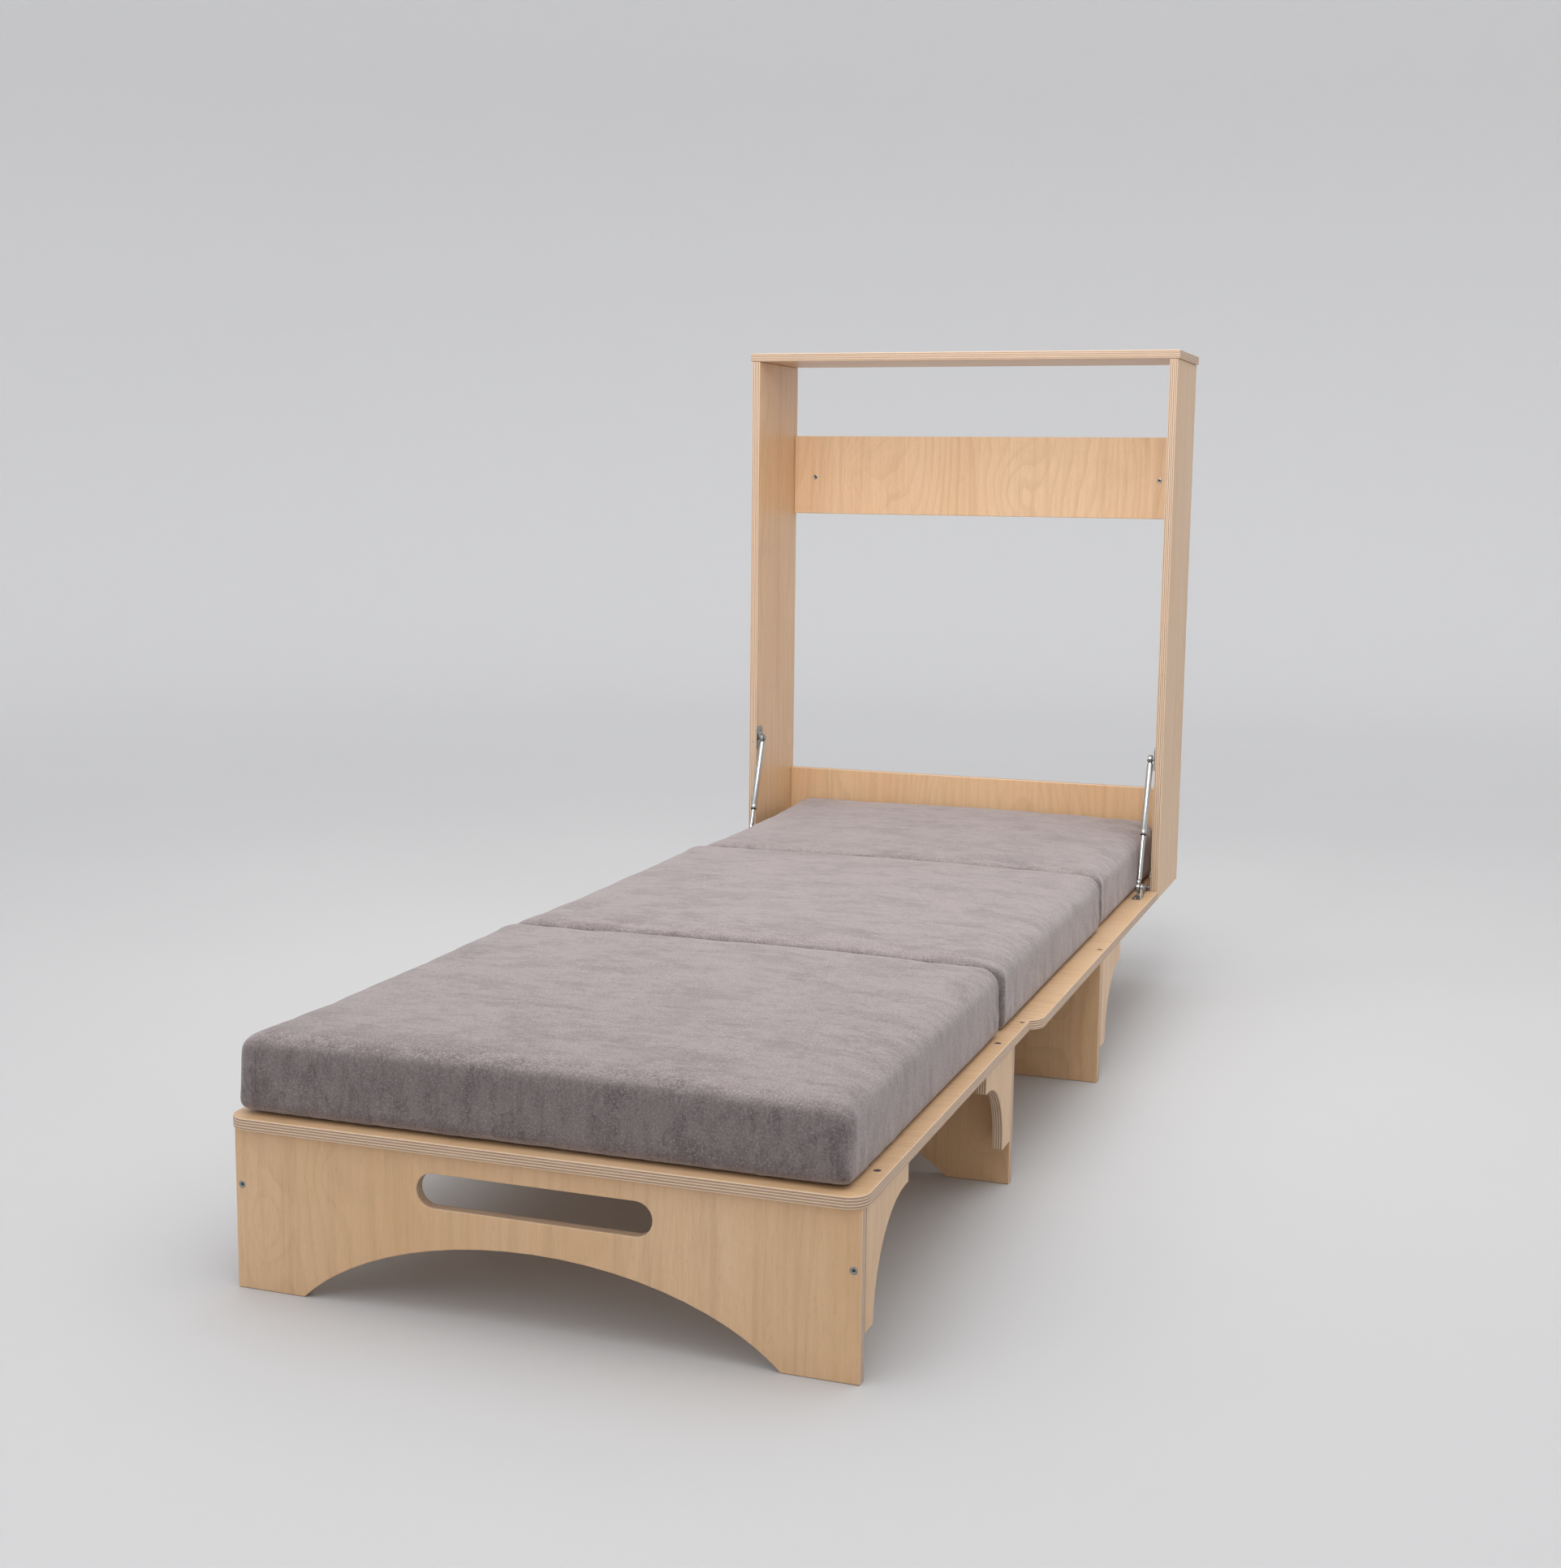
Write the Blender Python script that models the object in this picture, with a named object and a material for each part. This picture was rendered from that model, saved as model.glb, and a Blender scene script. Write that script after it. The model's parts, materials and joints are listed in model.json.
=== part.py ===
"""Fold-down wall bed in birch plywood.

A shallow frame is screwed to the wall. A platform hinged to its lower front edges folds up
in front of it, carried by a fixed leg and steadied by two telescopic struts. A loose bench
with two arched legs makes the foot of the bed. Three mattress sections lie on top.

Frame of the part: X across the bed, Y towards the wall, Z up. The origin is on the floor,
under the middle of the bed's length and width.
"""
import math

import bmesh
import bpy
from mathutils import Matrix, Vector

# ---------------------------------------------------------------- driving dimensions (metres)
PLY = 0.015                 # thickness of every board
GAP = 0.0003                # air left between two pieces that touch
ARRIS = 0.0014              # rounding of the board edges
LEG_HEIGHT = 0.200          # floor to the underside of the platform
DECK_TOP = LEG_HEIGHT + PLY

LENGTH = 2.034              # wall to the front edge of the bench
WALL = LENGTH / 2           # Y of the wall

FRAME_WIDTH = 0.816
FRAME_DEPTH = 0.227
FRAME_FRONT = WALL - FRAME_DEPTH
FRAME_TOP = 1.208
TOP_PANEL_WIDTH = 0.8235
TOP_PANEL_DEPTH = 0.228
RAIL_HEIGHT = 0.155
UPPER_RAIL_BOTTOM = 0.9015
LOWER_RAIL_BOTTOM = 0.224
WALL_SCREW_X = 0.348
WALL_SCREW_RISE = 0.073     # above the bottom edge of its rail

BENCH_WIDTH = 0.782         # over the legs
BENCH_PANEL_WIDTH = 0.792
BENCH_SHIFT = -0.003        # the loose bench stands a little to the left
BENCH_FRONT = -LENGTH / 2
BENCH_BACK = WALL - 1.2415
BENCH_OVERHANG = 0.012      # panel in front of the front leg
BENCH_LEG_INSET = 0.0675    # rear leg to the back edge of the panel
BENCH_CORNER = 0.025
SLOT_LENGTH = 0.295
SLOT_HEIGHT = 0.041
SLOT_Z = 0.153
ARCH_HALF = 0.300
ARCH_HEIGHT = 0.0935
ARCH_AXIS = 0.340           # half width of the ellipse that the arch is cut from
GUSSET_TIP = 0.012          # flat end of a gusset's arm
# gusset: (reach of its arm, depth of the arm, radius of the curve, bottom of its foot)
FRONT_GUSSET = (0.162, 0.027, 0.120, 0.0535)
REAR_GUSSET = (0.146, 0.030, 0.090, 0.0630)
SHELF_GUSSET = (0.160, 0.031, 0.108, 0.0550)
GUSSET_JOINT = 0.0008       # open joint between a leg and its gussets
FRONT_SCREW_INSET = 0.082   # deck screws, from the leg that carries the gusset
REAR_SCREW_INSET = 0.051
SHELF_SCREW_INSET = 0.033
LEG_SCREW_HEIGHT = 0.129
SIDE_SCREW_INSET = 0.009    # screws of the gussets, from the outer face of the legs

PLATFORM_FRONT = BENCH_BACK + 2 * GAP
PLATFORM_BACK = FRAME_FRONT - 0.0005
PLATFORM_CORNER = 0.030
TONGUE_HALF = 0.384         # the narrow head end that reaches into the frame
TONGUE_BACK = WALL - 0.030
SHELF_LEG_FRONT = WALL - 0.785

# left and right side of each section; the middle one clears the frame, the rear one the struts
MATTRESS_SIDES = {"front": (-0.394, 0.3815), "middle": (-0.3885, 0.3785), "rear": (-0.3755, 0.3755)}
MATTRESS_HEIGHT = 0.100
MATTRESS_EDGE = 0.028
MATTRESS_FRONT = WALL - 2.027
MATTRESS_SEAMS = (WALL - 1.3258, WALL - 0.6005)
MATTRESS_HEAD = WALL - 0.035
SEAM_GAP = 0.003
MATTRESS_LIFT = 0.0005      # air under the sections

PIVOT_OFFSET = 0.006        # fold axis above the deck and behind the frame's front edges
FOLD_Y = FRAME_FRONT + PIVOT_OFFSET
FOLD_Z = DECK_TOP + PIVOT_OFFSET
INNER_HALF = FRAME_WIDTH / 2 - PLY

STRUT_X = 0.3833
STRUT_TOP = (WALL - 0.216, 0.462)     # upper pivot, Y and Z
STRUT_FOOT = (WALL - 0.300, 0.2345)   # lower pivot, Y and Z
TUBE_RADIUS = 0.0056
TUBE_BORE = 0.0049
TUBE_END = 0.1415               # mouth of the tube, from the upper pivot
ROD_RADIUS = 0.0045
ROD_LENGTH = 0.136
EYE_RADIUS = 0.0080
EYE_WIDTH = 0.0070
PIN_RADIUS = 0.0026
PIN_CLEARANCE = 0.0003
PIN_HEAD = 0.0045
PIN_HEAD_DEPTH = 0.0016
PLATE = 0.0015                  # sheet steel
PLATE_BEVEL = 0.0004
SEAL_LENGTH = 0.004
NECK_START = PIN_RADIUS + 0.0025    # where an eye's neck leaves its ring
NECK_LENGTH = 0.0137                # of the rod's eye, from its pivot
HEAD_NECK = 0.020                   # of the cylinder's eye, from its pivot

HINGE_PLATE = (0.037, 0.042)        # depth and height
HINGE_PLATE_CENTRE = (FRAME_FRONT + 0.0192, 0.2245)
HINGE_PIN_REACH = 0.0125            # how far the pin stands out from the side panel
EAR_RADIUS = 0.0075
HINGE_EAR = 0.0024                  # thickness of the hinge bracket's ear
HINGE_EAR_INSET = 0.0062            # its middle, from the side panel's inner face
HINGE_BASE = (0.0125, 0.034, 0.0018)
UPPER_BRACKET = (0.030, 0.044)      # depth and height
LOWER_EAR = 0.0018
LOWER_EAR_FOOT = 0.014              # half length of the ear where it meets its base
LOWER_BASE = (0.0155, 0.040, 0.0016)
PIN_SHORT = 0.0004                  # the lower pin stops this far from the rod's eye
BORE_REACH = 0.010                  # half length of a bore's cutter

SCREW_HEAD = 0.0045
SCREW_HEAD_DEPTH = 0.0028
SCREW_SHANK = 0.0020
SCREW_SOCKET = 0.0020
SOCKET_DEPTH = 0.0016
HOLE_RISE = 0.004            # how far a hole cutter stands above the board
SCREW_LENGTH = 0.032
THROUGH = 0.05               # long enough to cut right through a board


# ---------------------------------------------------------------- scene, materials, objects
def clear_scene():
    for obj in list(bpy.data.objects):
        bpy.data.objects.remove(obj, do_unlink=True)


def make_material(name, colour, roughness, metallic=0.0):
    material = bpy.data.materials.new(name)
    material.use_nodes = True
    shader = material.node_tree.nodes["Principled BSDF"]
    shader.inputs["Base Color"].default_value = (*colour, 1.0)
    shader.inputs["Roughness"].default_value = roughness
    shader.inputs["Metallic"].default_value = metallic
    return material


# kind: (colour, roughness, metallic)
FINISHES = {
    "birch": ((0.66, 0.47, 0.28), 0.45, 0.0),
    "fabric": ((0.31, 0.27, 0.27), 0.9, 0.0),
    "steel": ((0.72, 0.72, 0.71), 0.3, 1.0),
    "chrome": ((0.85, 0.85, 0.85), 0.08, 1.0),
    "rubber": ((0.03, 0.03, 0.03), 0.6, 0.0),
}


def add_object(name, mesh_builder, finish, location=(0, 0, 0), parent=None):
    """Make one named piece from a bmesh, with a material of its own."""
    mesh = bpy.data.meshes.new(name)
    bmesh.ops.recalc_face_normals(mesh_builder, faces=mesh_builder.faces)
    mesh_builder.to_mesh(mesh)
    mesh_builder.free()
    obj = bpy.data.objects.new(name, mesh)
    bpy.context.scene.collection.objects.link(obj)
    colour, roughness, metallic = FINISHES[finish]
    mesh.materials.append(make_material(name, colour, roughness, metallic))
    obj.location = location
    if parent is not None:
        attach(obj, parent)
    return obj


def add_empty(name, location, rotation=(0, 0, 0)):
    empty = bpy.data.objects.new(name, None)
    empty.location = location
    empty.rotation_euler = rotation
    bpy.context.scene.collection.objects.link(empty)
    return empty


def attach(obj, parent):
    """Parent a piece and keep the place it was given in world coordinates."""
    obj.parent = parent
    obj.matrix_parent_inverse = world_matrix(parent).inverted()


def world_matrix(obj):
    local = Matrix.LocRotScale(obj.location, obj.rotation_euler, obj.scale)
    return world_matrix(obj.parent) @ local if obj.parent else local


# ---------------------------------------------------------------- outlines and solids
def arc(centre, radius, start, end, steps):
    """Points on an arc, both ends included, angles in degrees."""
    points = []
    for i in range(steps + 1):
        angle = math.radians(start + (end - start) * i / steps)
        points.append((centre[0] + radius * math.cos(angle), centre[1] + radius * math.sin(angle)))
    return points


def prism(outline, depth, axis):
    """Extrude a closed 2-D outline, centred on its plane, along X, Y or Z."""
    place = {
        "x": lambda a, b, c: (c, a, b),
        "y": lambda a, b, c: (a, c, b),
        "z": lambda a, b, c: (a, b, c),
    }[axis]
    bm = bmesh.new()
    bottom = [bm.verts.new(place(a, b, -depth / 2)) for a, b in outline]
    face = bm.faces.new(bottom)
    extruded = bmesh.ops.extrude_face_region(bm, geom=[face])
    moved = [item for item in extruded["geom"] if isinstance(item, bmesh.types.BMVert)]
    bmesh.ops.translate(bm, verts=moved, vec=Vector(place(0, 0, depth)))
    return bm


def box(size):
    bm = bmesh.new()
    bmesh.ops.create_cube(bm, size=1.0)
    bmesh.ops.scale(bm, vec=Vector(size), verts=bm.verts)
    return bm


def lathe(profile, segments=16, axis="z"):
    """Turn a closed profile of (radius, height) points about an axis."""
    place = {
        "x": lambda r, t, h: (h, r * math.cos(t), r * math.sin(t)),
        "y": lambda r, t, h: (r * math.sin(t), h, r * math.cos(t)),
        "z": lambda r, t, h: (r * math.cos(t), r * math.sin(t), h),
    }[axis]
    bm = bmesh.new()
    rings = []
    for radius, height in profile:
        if radius == 0:
            rings.append([bm.verts.new(place(0, 0, height))] * segments)
            continue
        turns = [2 * math.pi * i / segments for i in range(segments)]
        rings.append([bm.verts.new(place(radius, turn, height)) for turn in turns])
    closed = profile[0][0] > 0
    pairs = list(zip(rings, rings[1:] + rings[:1])) if closed else list(zip(rings, rings[1:]))
    for ring_a, ring_b in pairs:
        for i in range(segments):
            j = (i + 1) % segments
            corners = []
            for vert in (ring_a[i], ring_a[j], ring_b[j], ring_b[i]):
                if vert not in corners:
                    corners.append(vert)
            if len(corners) > 2:
                bm.faces.new(corners)
    return bm


def cylinder_profile(radius, low, high):
    return [(0, low), (radius, low), (radius, high), (0, high)]


def smooth_round(obj):
    obj.data.shade_smooth()
    obj.data.set_sharp_from_angle(angle=math.radians(35))


def add_bevel(obj, width=ARRIS, segments=2):
    bevel = obj.modifiers.new("arris", "BEVEL")
    bevel.width = width
    bevel.segments = segments
    bevel.limit_method = "ANGLE"
    bevel.angle_limit = math.radians(50)
    bevel.harden_normals = False


def add_boolean(obj, other, operation):
    other.hide_render = True
    other.display_type = "WIRE"
    cut = obj.modifiers.new(operation.lower(), "BOOLEAN")
    cut.operation = operation
    cut.solver = "EXACT"
    cut.object = other


def board(name, corner_a, corner_b, parent=None):
    """A rectangular board between two opposite corners."""
    low, high = Vector(corner_a), Vector(corner_b)
    return add_object(name, box(high - low), "birch", (low + high) / 2, parent)


# ---------------------------------------------------------------- screws and their holes
def screw_profile(grow=0.0, length=SCREW_LENGTH):
    """Countersunk socket screw, or with grow above 0 the plain hole that it sits in."""
    head, shank = SCREW_HEAD + grow, SCREW_SHANK + grow
    top = HOLE_RISE if grow else 0.0
    if grow:
        centre = [(0, top)]
    else:
        centre = [(0, -SOCKET_DEPTH), (SCREW_SOCKET, -SOCKET_DEPTH), (SCREW_SOCKET, top)]
    neck = -SCREW_HEAD_DEPTH - grow
    return centre + [(head, top), (head, neck), (shank, neck), (shank, -length - grow),
                     (0, -length - grow)]


SCREW_ALIGN = {
    "down": Matrix.Identity(3),
    "back": Matrix.Rotation(math.radians(90), 3, "X"),
}


def screw_mesh(direction, grow=0.0, length=SCREW_LENGTH, at=(0, 0, 0)):
    bm = lathe(screw_profile(grow, length), segments=12)
    bmesh.ops.rotate(bm, matrix=SCREW_ALIGN[direction], verts=bm.verts)
    bmesh.ops.translate(bm, vec=Vector(at), verts=bm.verts)
    return bm


def add_screw(name, position, direction, parent=None, length=SCREW_LENGTH):
    obj = add_object(name, screw_mesh(direction, length=length), "steel", position, parent)
    smooth_round(obj)
    return obj


def cut_screw_holes(obj, screws, parent=None):
    """Cut the holes of several screws, given as (position, direction, length), in one piece."""
    holes = bpy.data.meshes.new(obj.name + "_holes")
    merged = bmesh.new()
    for position, direction, length in screws:
        single = screw_mesh(direction, GAP, length, position)
        bmesh.ops.recalc_face_normals(single, faces=single.faces)
        part_mesh = bpy.data.meshes.new("hole")
        single.to_mesh(part_mesh)
        single.free()
        merged.from_mesh(part_mesh)
        bpy.data.meshes.remove(part_mesh)
    merged.to_mesh(holes)
    merged.free()
    cutter = bpy.data.objects.new(obj.name + "_holes", holes)
    bpy.context.scene.collection.objects.link(cutter)
    if parent is not None:
        attach(cutter, parent)
    add_boolean(obj, cutter, "DIFFERENCE")


# ---------------------------------------------------------------- board outlines
def rounded_front_outline(half_width, front, back, radius):
    """Plan of a panel with its two front corners rounded, front towards -Y."""
    points = arc((half_width - radius, front + radius), radius, -90, 0, 10)
    points = arc((-half_width + radius, front + radius), radius, 180, 270, 10) + points
    return points + [(half_width, back), (-half_width, back)]


def arched_leg_outline(half_width, height):
    """Front view of a leg board with an elliptical arch between its two feet."""
    drop = ARCH_HEIGHT / (1 - math.sqrt(1 - (ARCH_HALF / ARCH_AXIS) ** 2))
    arch = []
    steps = 28
    for i in range(steps + 1):
        x = ARCH_HALF * math.sin(math.radians(-90 + 180 * i / steps))
        z = ARCH_HEIGHT - drop * (1 - math.sqrt(1 - (x / ARCH_AXIS) ** 2))
        arch.append((x, max(z, 0.0)))
    sides = [(half_width, 0.0), (half_width, height), (-half_width, height), (-half_width, 0.0)]
    return arch + sides


def gusset_outline(reach, arm, radius, foot_bottom, height):
    """Side view of a bracket board: arm under the panel, quarter arc, foot along the leg."""
    arc_bottom = height - arm - radius
    foot = reach - GUSSET_TIP - radius
    curve = arc((foot + radius, arc_bottom), radius, 180, 90, 10)
    return [(0, foot_bottom), (foot, foot_bottom)] + curve + [
        (reach, height - arm), (reach, height), (0, height)]


# ---------------------------------------------------------------- the wall frame
def wall_screw_places():
    return {
        f"wall_screw_{rail}_{side}": (sign * WALL_SCREW_X, WALL - PLY, bottom + WALL_SCREW_RISE)
        for rail, bottom in (("upper", UPPER_RAIL_BOTTOM), ("lower", LOWER_RAIL_BOTTOM))
        for side, sign in (("left", -1), ("right", 1))
    }


def build_wall_frame():
    under_top = FRAME_TOP - PLY
    half = FRAME_WIDTH / 2
    top = board("top_panel", (-TOP_PANEL_WIDTH / 2, WALL - TOP_PANEL_DEPTH, under_top),
                (TOP_PANEL_WIDTH / 2, WALL, FRAME_TOP))
    add_bevel(top)
    for side, sign in (("left", -1), ("right", 1)):
        panel = board(f"side_panel_{side}",
                      (min(sign * half, sign * INNER_HALF), FRAME_FRONT, LEG_HEIGHT),
                      (max(sign * half, sign * INNER_HALF), WALL, under_top - GAP))
        add_bevel(panel)
    rail_half = INNER_HALF - GAP
    for rail, bottom in (("upper", UPPER_RAIL_BOTTOM), ("lower", LOWER_RAIL_BOTTOM)):
        obj = board(f"{rail}_wall_rail", (-rail_half, WALL - PLY, bottom),
                    (rail_half, WALL, bottom + RAIL_HEIGHT))
        holes = [(place, "back", THROUGH) for name, place in wall_screw_places().items() if rail in name]
        add_bevel(obj)
        cut_screw_holes(obj, holes)
    for name, place in wall_screw_places().items():
        add_screw(name, place, "back", length=PLY - GAP)


# ---------------------------------------------------------------- gussets shared by all legs
def build_gusset(name, sign, half_width, leg_face, direction, shape, parent, screws):
    """A bracket in the corner of a leg and the panel; direction is +1 towards the wall."""
    outline = [(leg_face + direction * (GUSSET_JOINT + along), z)
               for along, z in gusset_outline(*shape, LEG_HEIGHT - GAP)]
    x_middle = sign * (half_width - PLY / 2)
    obj = add_object(name, prism(outline, PLY, "x"), "birch", (x_middle, 0, 0), parent)
    add_bevel(obj)
    cut_screw_holes(obj, screws, parent)
    return obj


# ---------------------------------------------------------------- the bench at the foot end
def build_bench(bench):
    half = BENCH_WIDTH / 2
    leg_front = BENCH_FRONT + BENCH_OVERHANG
    rear_leg_back = BENCH_BACK - BENCH_LEG_INSET
    rear_leg_front = rear_leg_back - PLY
    middle = (BENCH_FRONT + BENCH_BACK) / 2
    panel_screws = {}
    leg_screws = {}
    for side, sign in (("left", -1), ("right", 1)):
        x = sign * (half - SIDE_SCREW_INSET)
        panel_screws[f"bench_screw_front_{side}"] = (x, leg_front + FRONT_SCREW_INSET, DECK_TOP)
        panel_screws[f"bench_screw_rear_{side}"] = (x, rear_leg_front - REAR_SCREW_INSET, DECK_TOP)
        leg_screws[f"bench_leg_screw_{side}"] = (x, leg_front, LEG_SCREW_HEIGHT)
    down = [(place, "down", SCREW_LENGTH) for place in panel_screws.values()]
    back = [(place, "back", SCREW_LENGTH) for place in leg_screws.values()]

    outline = rounded_front_outline(BENCH_PANEL_WIDTH / 2, BENCH_FRONT, BENCH_BACK, BENCH_CORNER)
    panel = add_object("bench_panel", prism(outline, PLY, "z"), "birch",
                       (0, 0, LEG_HEIGHT + PLY / 2), bench)
    add_bevel(panel)
    cut_screw_holes(panel, down, bench)

    leg_outline = arched_leg_outline(half, LEG_HEIGHT - GAP)
    front_leg = add_object("bench_front_leg", prism(leg_outline, PLY, "y"), "birch",
                           (0, leg_front + PLY / 2, 0), bench)
    radius = SLOT_HEIGHT / 2
    reach = SLOT_LENGTH / 2 - radius
    slot_outline = arc((reach, SLOT_Z), radius, -90, 90, 12) + arc((-reach, SLOT_Z), radius, 90, 270, 12)
    slot = add_object("handle_slot_cutter", prism(slot_outline, 3 * PLY, "y"), "birch",
                      (0, leg_front + PLY / 2, 0), bench)
    add_boolean(front_leg, slot, "DIFFERENCE")
    add_bevel(front_leg)
    cut_screw_holes(front_leg, back, bench)
    rear_leg = add_object("bench_rear_leg", prism(leg_outline, PLY, "y"), "birch",
                          (0, rear_leg_front + PLY / 2, 0), bench)
    add_bevel(rear_leg)

    for side, sign in (("left", -1), ("right", 1)):
        screws = [item for item in down + back if item[0][0] * sign > 0]
        front_screws = [item for item in screws if item[0][1] < middle]
        rear_screws = [item for item in screws if item[0][1] > middle]
        build_gusset(f"bench_front_gusset_{side}", sign, half, leg_front + PLY, 1,
                     FRONT_GUSSET, bench, front_screws)
        build_gusset(f"bench_rear_gusset_{side}", sign, half, rear_leg_front, -1,
                     REAR_GUSSET, bench, rear_screws)
    for name, place in panel_screws.items():
        add_screw(name, place, "down", bench)
    for name, place in leg_screws.items():
        add_screw(name, place, "back", bench)


# ---------------------------------------------------------------- the folding platform
def build_platform(platform):
    half = FRAME_WIDTH / 2
    outline = rounded_front_outline(half, PLATFORM_FRONT, PLATFORM_BACK, PLATFORM_CORNER)
    outline = outline[:-1] + [(TONGUE_HALF, PLATFORM_BACK), (TONGUE_HALF, TONGUE_BACK),
                              (-TONGUE_HALF, TONGUE_BACK), (-TONGUE_HALF, PLATFORM_BACK),
                              (-half, PLATFORM_BACK)]
    panel = add_object("platform_panel", prism(outline, PLY, "z"), "birch",
                       (0, 0, LEG_HEIGHT + PLY / 2), platform)
    screw_x = half - SIDE_SCREW_INSET
    screw_y = SHELF_LEG_FRONT + SHELF_SCREW_INSET
    screws = {f"platform_screw_{side}": (sign * screw_x, screw_y, DECK_TOP)
              for side, sign in (("left", -1), ("right", 1))}
    down = [(place, "down", SCREW_LENGTH) for place in screws.values()]
    add_bevel(panel)
    cut_screw_holes(panel, down, platform)
    leg = board("shelf_leg", (-half, SHELF_LEG_FRONT, 0),
                (half, SHELF_LEG_FRONT + PLY, LEG_HEIGHT - GAP), platform)
    add_bevel(leg)
    for side, sign in (("left", -1), ("right", 1)):
        own = [item for item in down if item[0][0] * sign > 0]
        build_gusset(f"shelf_gusset_{side}", sign, half, SHELF_LEG_FRONT + PLY, 1,
                     SHELF_GUSSET, platform, own)
    for name, place in screws.items():
        add_screw(name, place, "down", platform)


# ---------------------------------------------------------------- the mattress
def build_mattress(bench, platform):
    base = DECK_TOP + MATTRESS_LIFT
    ends = (MATTRESS_FRONT, *MATTRESS_SEAMS, MATTRESS_HEAD)
    for i, (name, owner) in enumerate((("front", bench), ("middle", platform), ("rear", platform))):
        front = ends[i] + (SEAM_GAP / 2 if i > 0 else 0)
        back = ends[i + 1] - (SEAM_GAP / 2 if i < 2 else 0)
        left, right = MATTRESS_SIDES[name]
        size = (right - left, back - front, MATTRESS_HEIGHT)
        centre = ((left + right) / 2, (front + back) / 2, base + MATTRESS_HEIGHT / 2)
        section = add_object(f"mattress_{name}", box(size), "fabric", centre, owner)
        add_bevel(section, MATTRESS_EDGE, 4)
        section.data.shade_smooth()


# ---------------------------------------------------------------- pins and pierced fittings
def headed_pin(name, sign, inner, outer, head_at, centre, parent=None):
    """Pin along X between two distances from the middle, with a head at its inner or outer end."""
    if head_at == "inner":
        neck = inner + PIN_HEAD_DEPTH
        profile = [(0, inner), (PIN_HEAD, inner), (PIN_HEAD, neck), (PIN_RADIUS, neck),
                   (PIN_RADIUS, outer), (0, outer)]
    else:
        end = outer + PIN_HEAD_DEPTH
        profile = [(0, inner), (PIN_RADIUS, inner), (PIN_RADIUS, outer), (PIN_HEAD, outer),
                   (PIN_HEAD, end), (0, end)]
    turned = lathe([(radius, sign * x) for radius, x in profile], 16, "x")
    smooth_round(add_object(name, turned, "steel", (0, *centre), parent))


def angle_bracket(name, sign, ear, thickness, ear_x, base_size, base_centre, bore, parent):
    """Upright ear joined to a base plate, with a bore for its pin."""
    bracket = add_object(name, prism(ear, thickness, "x"), "steel", (sign * ear_x, 0, 0), parent)
    base = add_object(name + "_base_union", box(base_size), "steel", base_centre, parent)
    add_boolean(bracket, base, "UNION")
    bore_mesh = lathe(cylinder_profile(PIN_RADIUS + PIN_CLEARANCE, -BORE_REACH, BORE_REACH), 16, "x")
    hole = add_object(name + "_bore_cutter", bore_mesh, "steel", (sign * ear_x, *bore), parent)
    add_boolean(bracket, hole, "DIFFERENCE")


def wall_plate(name, sign, size, centre):
    """Plate flat against the inner face of a side panel; size and centre in Y and Z."""
    plate = add_object(name, box((PLATE, *size)), "steel",
                       (sign * (INNER_HALF - GAP - PLATE / 2), *centre))
    add_bevel(plate, PLATE_BEVEL, 1)


# ---------------------------------------------------------------- the hinges of the platform
def build_hinge(side, sign, platform):
    """Plate and pin on the side panel, and a bracket on the deck that turns on the pin."""
    wall_plate(f"hinge_plate_{side}", sign, HINGE_PLATE, HINGE_PLATE_CENTRE)
    headed_pin(f"hinge_pin_{side}", sign, INNER_HALF - HINGE_PIN_REACH, INNER_HALF - 2 * GAP - PLATE,
               "inner", (FOLD_Y, FOLD_Z))
    ear_x = INNER_HALF - HINGE_EAR_INSET
    base_low = DECK_TOP + GAP
    width, length, thickness = HINGE_BASE
    ear_front = PLATFORM_BACK - length - 2 * GAP
    ear = arc((FOLD_Y, FOLD_Z), EAR_RADIUS, -40, 90, 8)
    ear += [(ear_front, FOLD_Z), (ear_front, base_low), (PLATFORM_BACK, base_low)]
    base_centre = (sign * (ear_x - (width - HINGE_EAR / 2) / 2), ear_front + length / 2,
                   base_low + thickness / 2)
    angle_bracket(f"hinge_bracket_{side}", sign, ear, HINGE_EAR, ear_x, HINGE_BASE, base_centre,
                  (FOLD_Y, FOLD_Z), platform)


# ---------------------------------------------------------------- the telescopic struts
def eye_fitting(name, axis_empty, neck_radius, neck_start, neck_end):
    """Ring across X with a round neck along the strut, as one piece."""
    bore = PIN_RADIUS + PIN_CLEARANCE
    ring_profile = [(bore, -EYE_WIDTH / 2), (EYE_RADIUS, -EYE_WIDTH / 2),
                    (EYE_RADIUS, EYE_WIDTH / 2), (bore, EYE_WIDTH / 2)]
    ring = add_object(name, lathe(ring_profile, 24, "x"), "steel")
    neck = add_object(name + "_neck_union",
                      lathe(cylinder_profile(neck_radius, neck_start, neck_end), 16), "steel")
    for obj in (ring, neck):
        obj.parent = axis_empty
    add_boolean(ring, neck, "UNION")
    smooth_round(ring)


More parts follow.
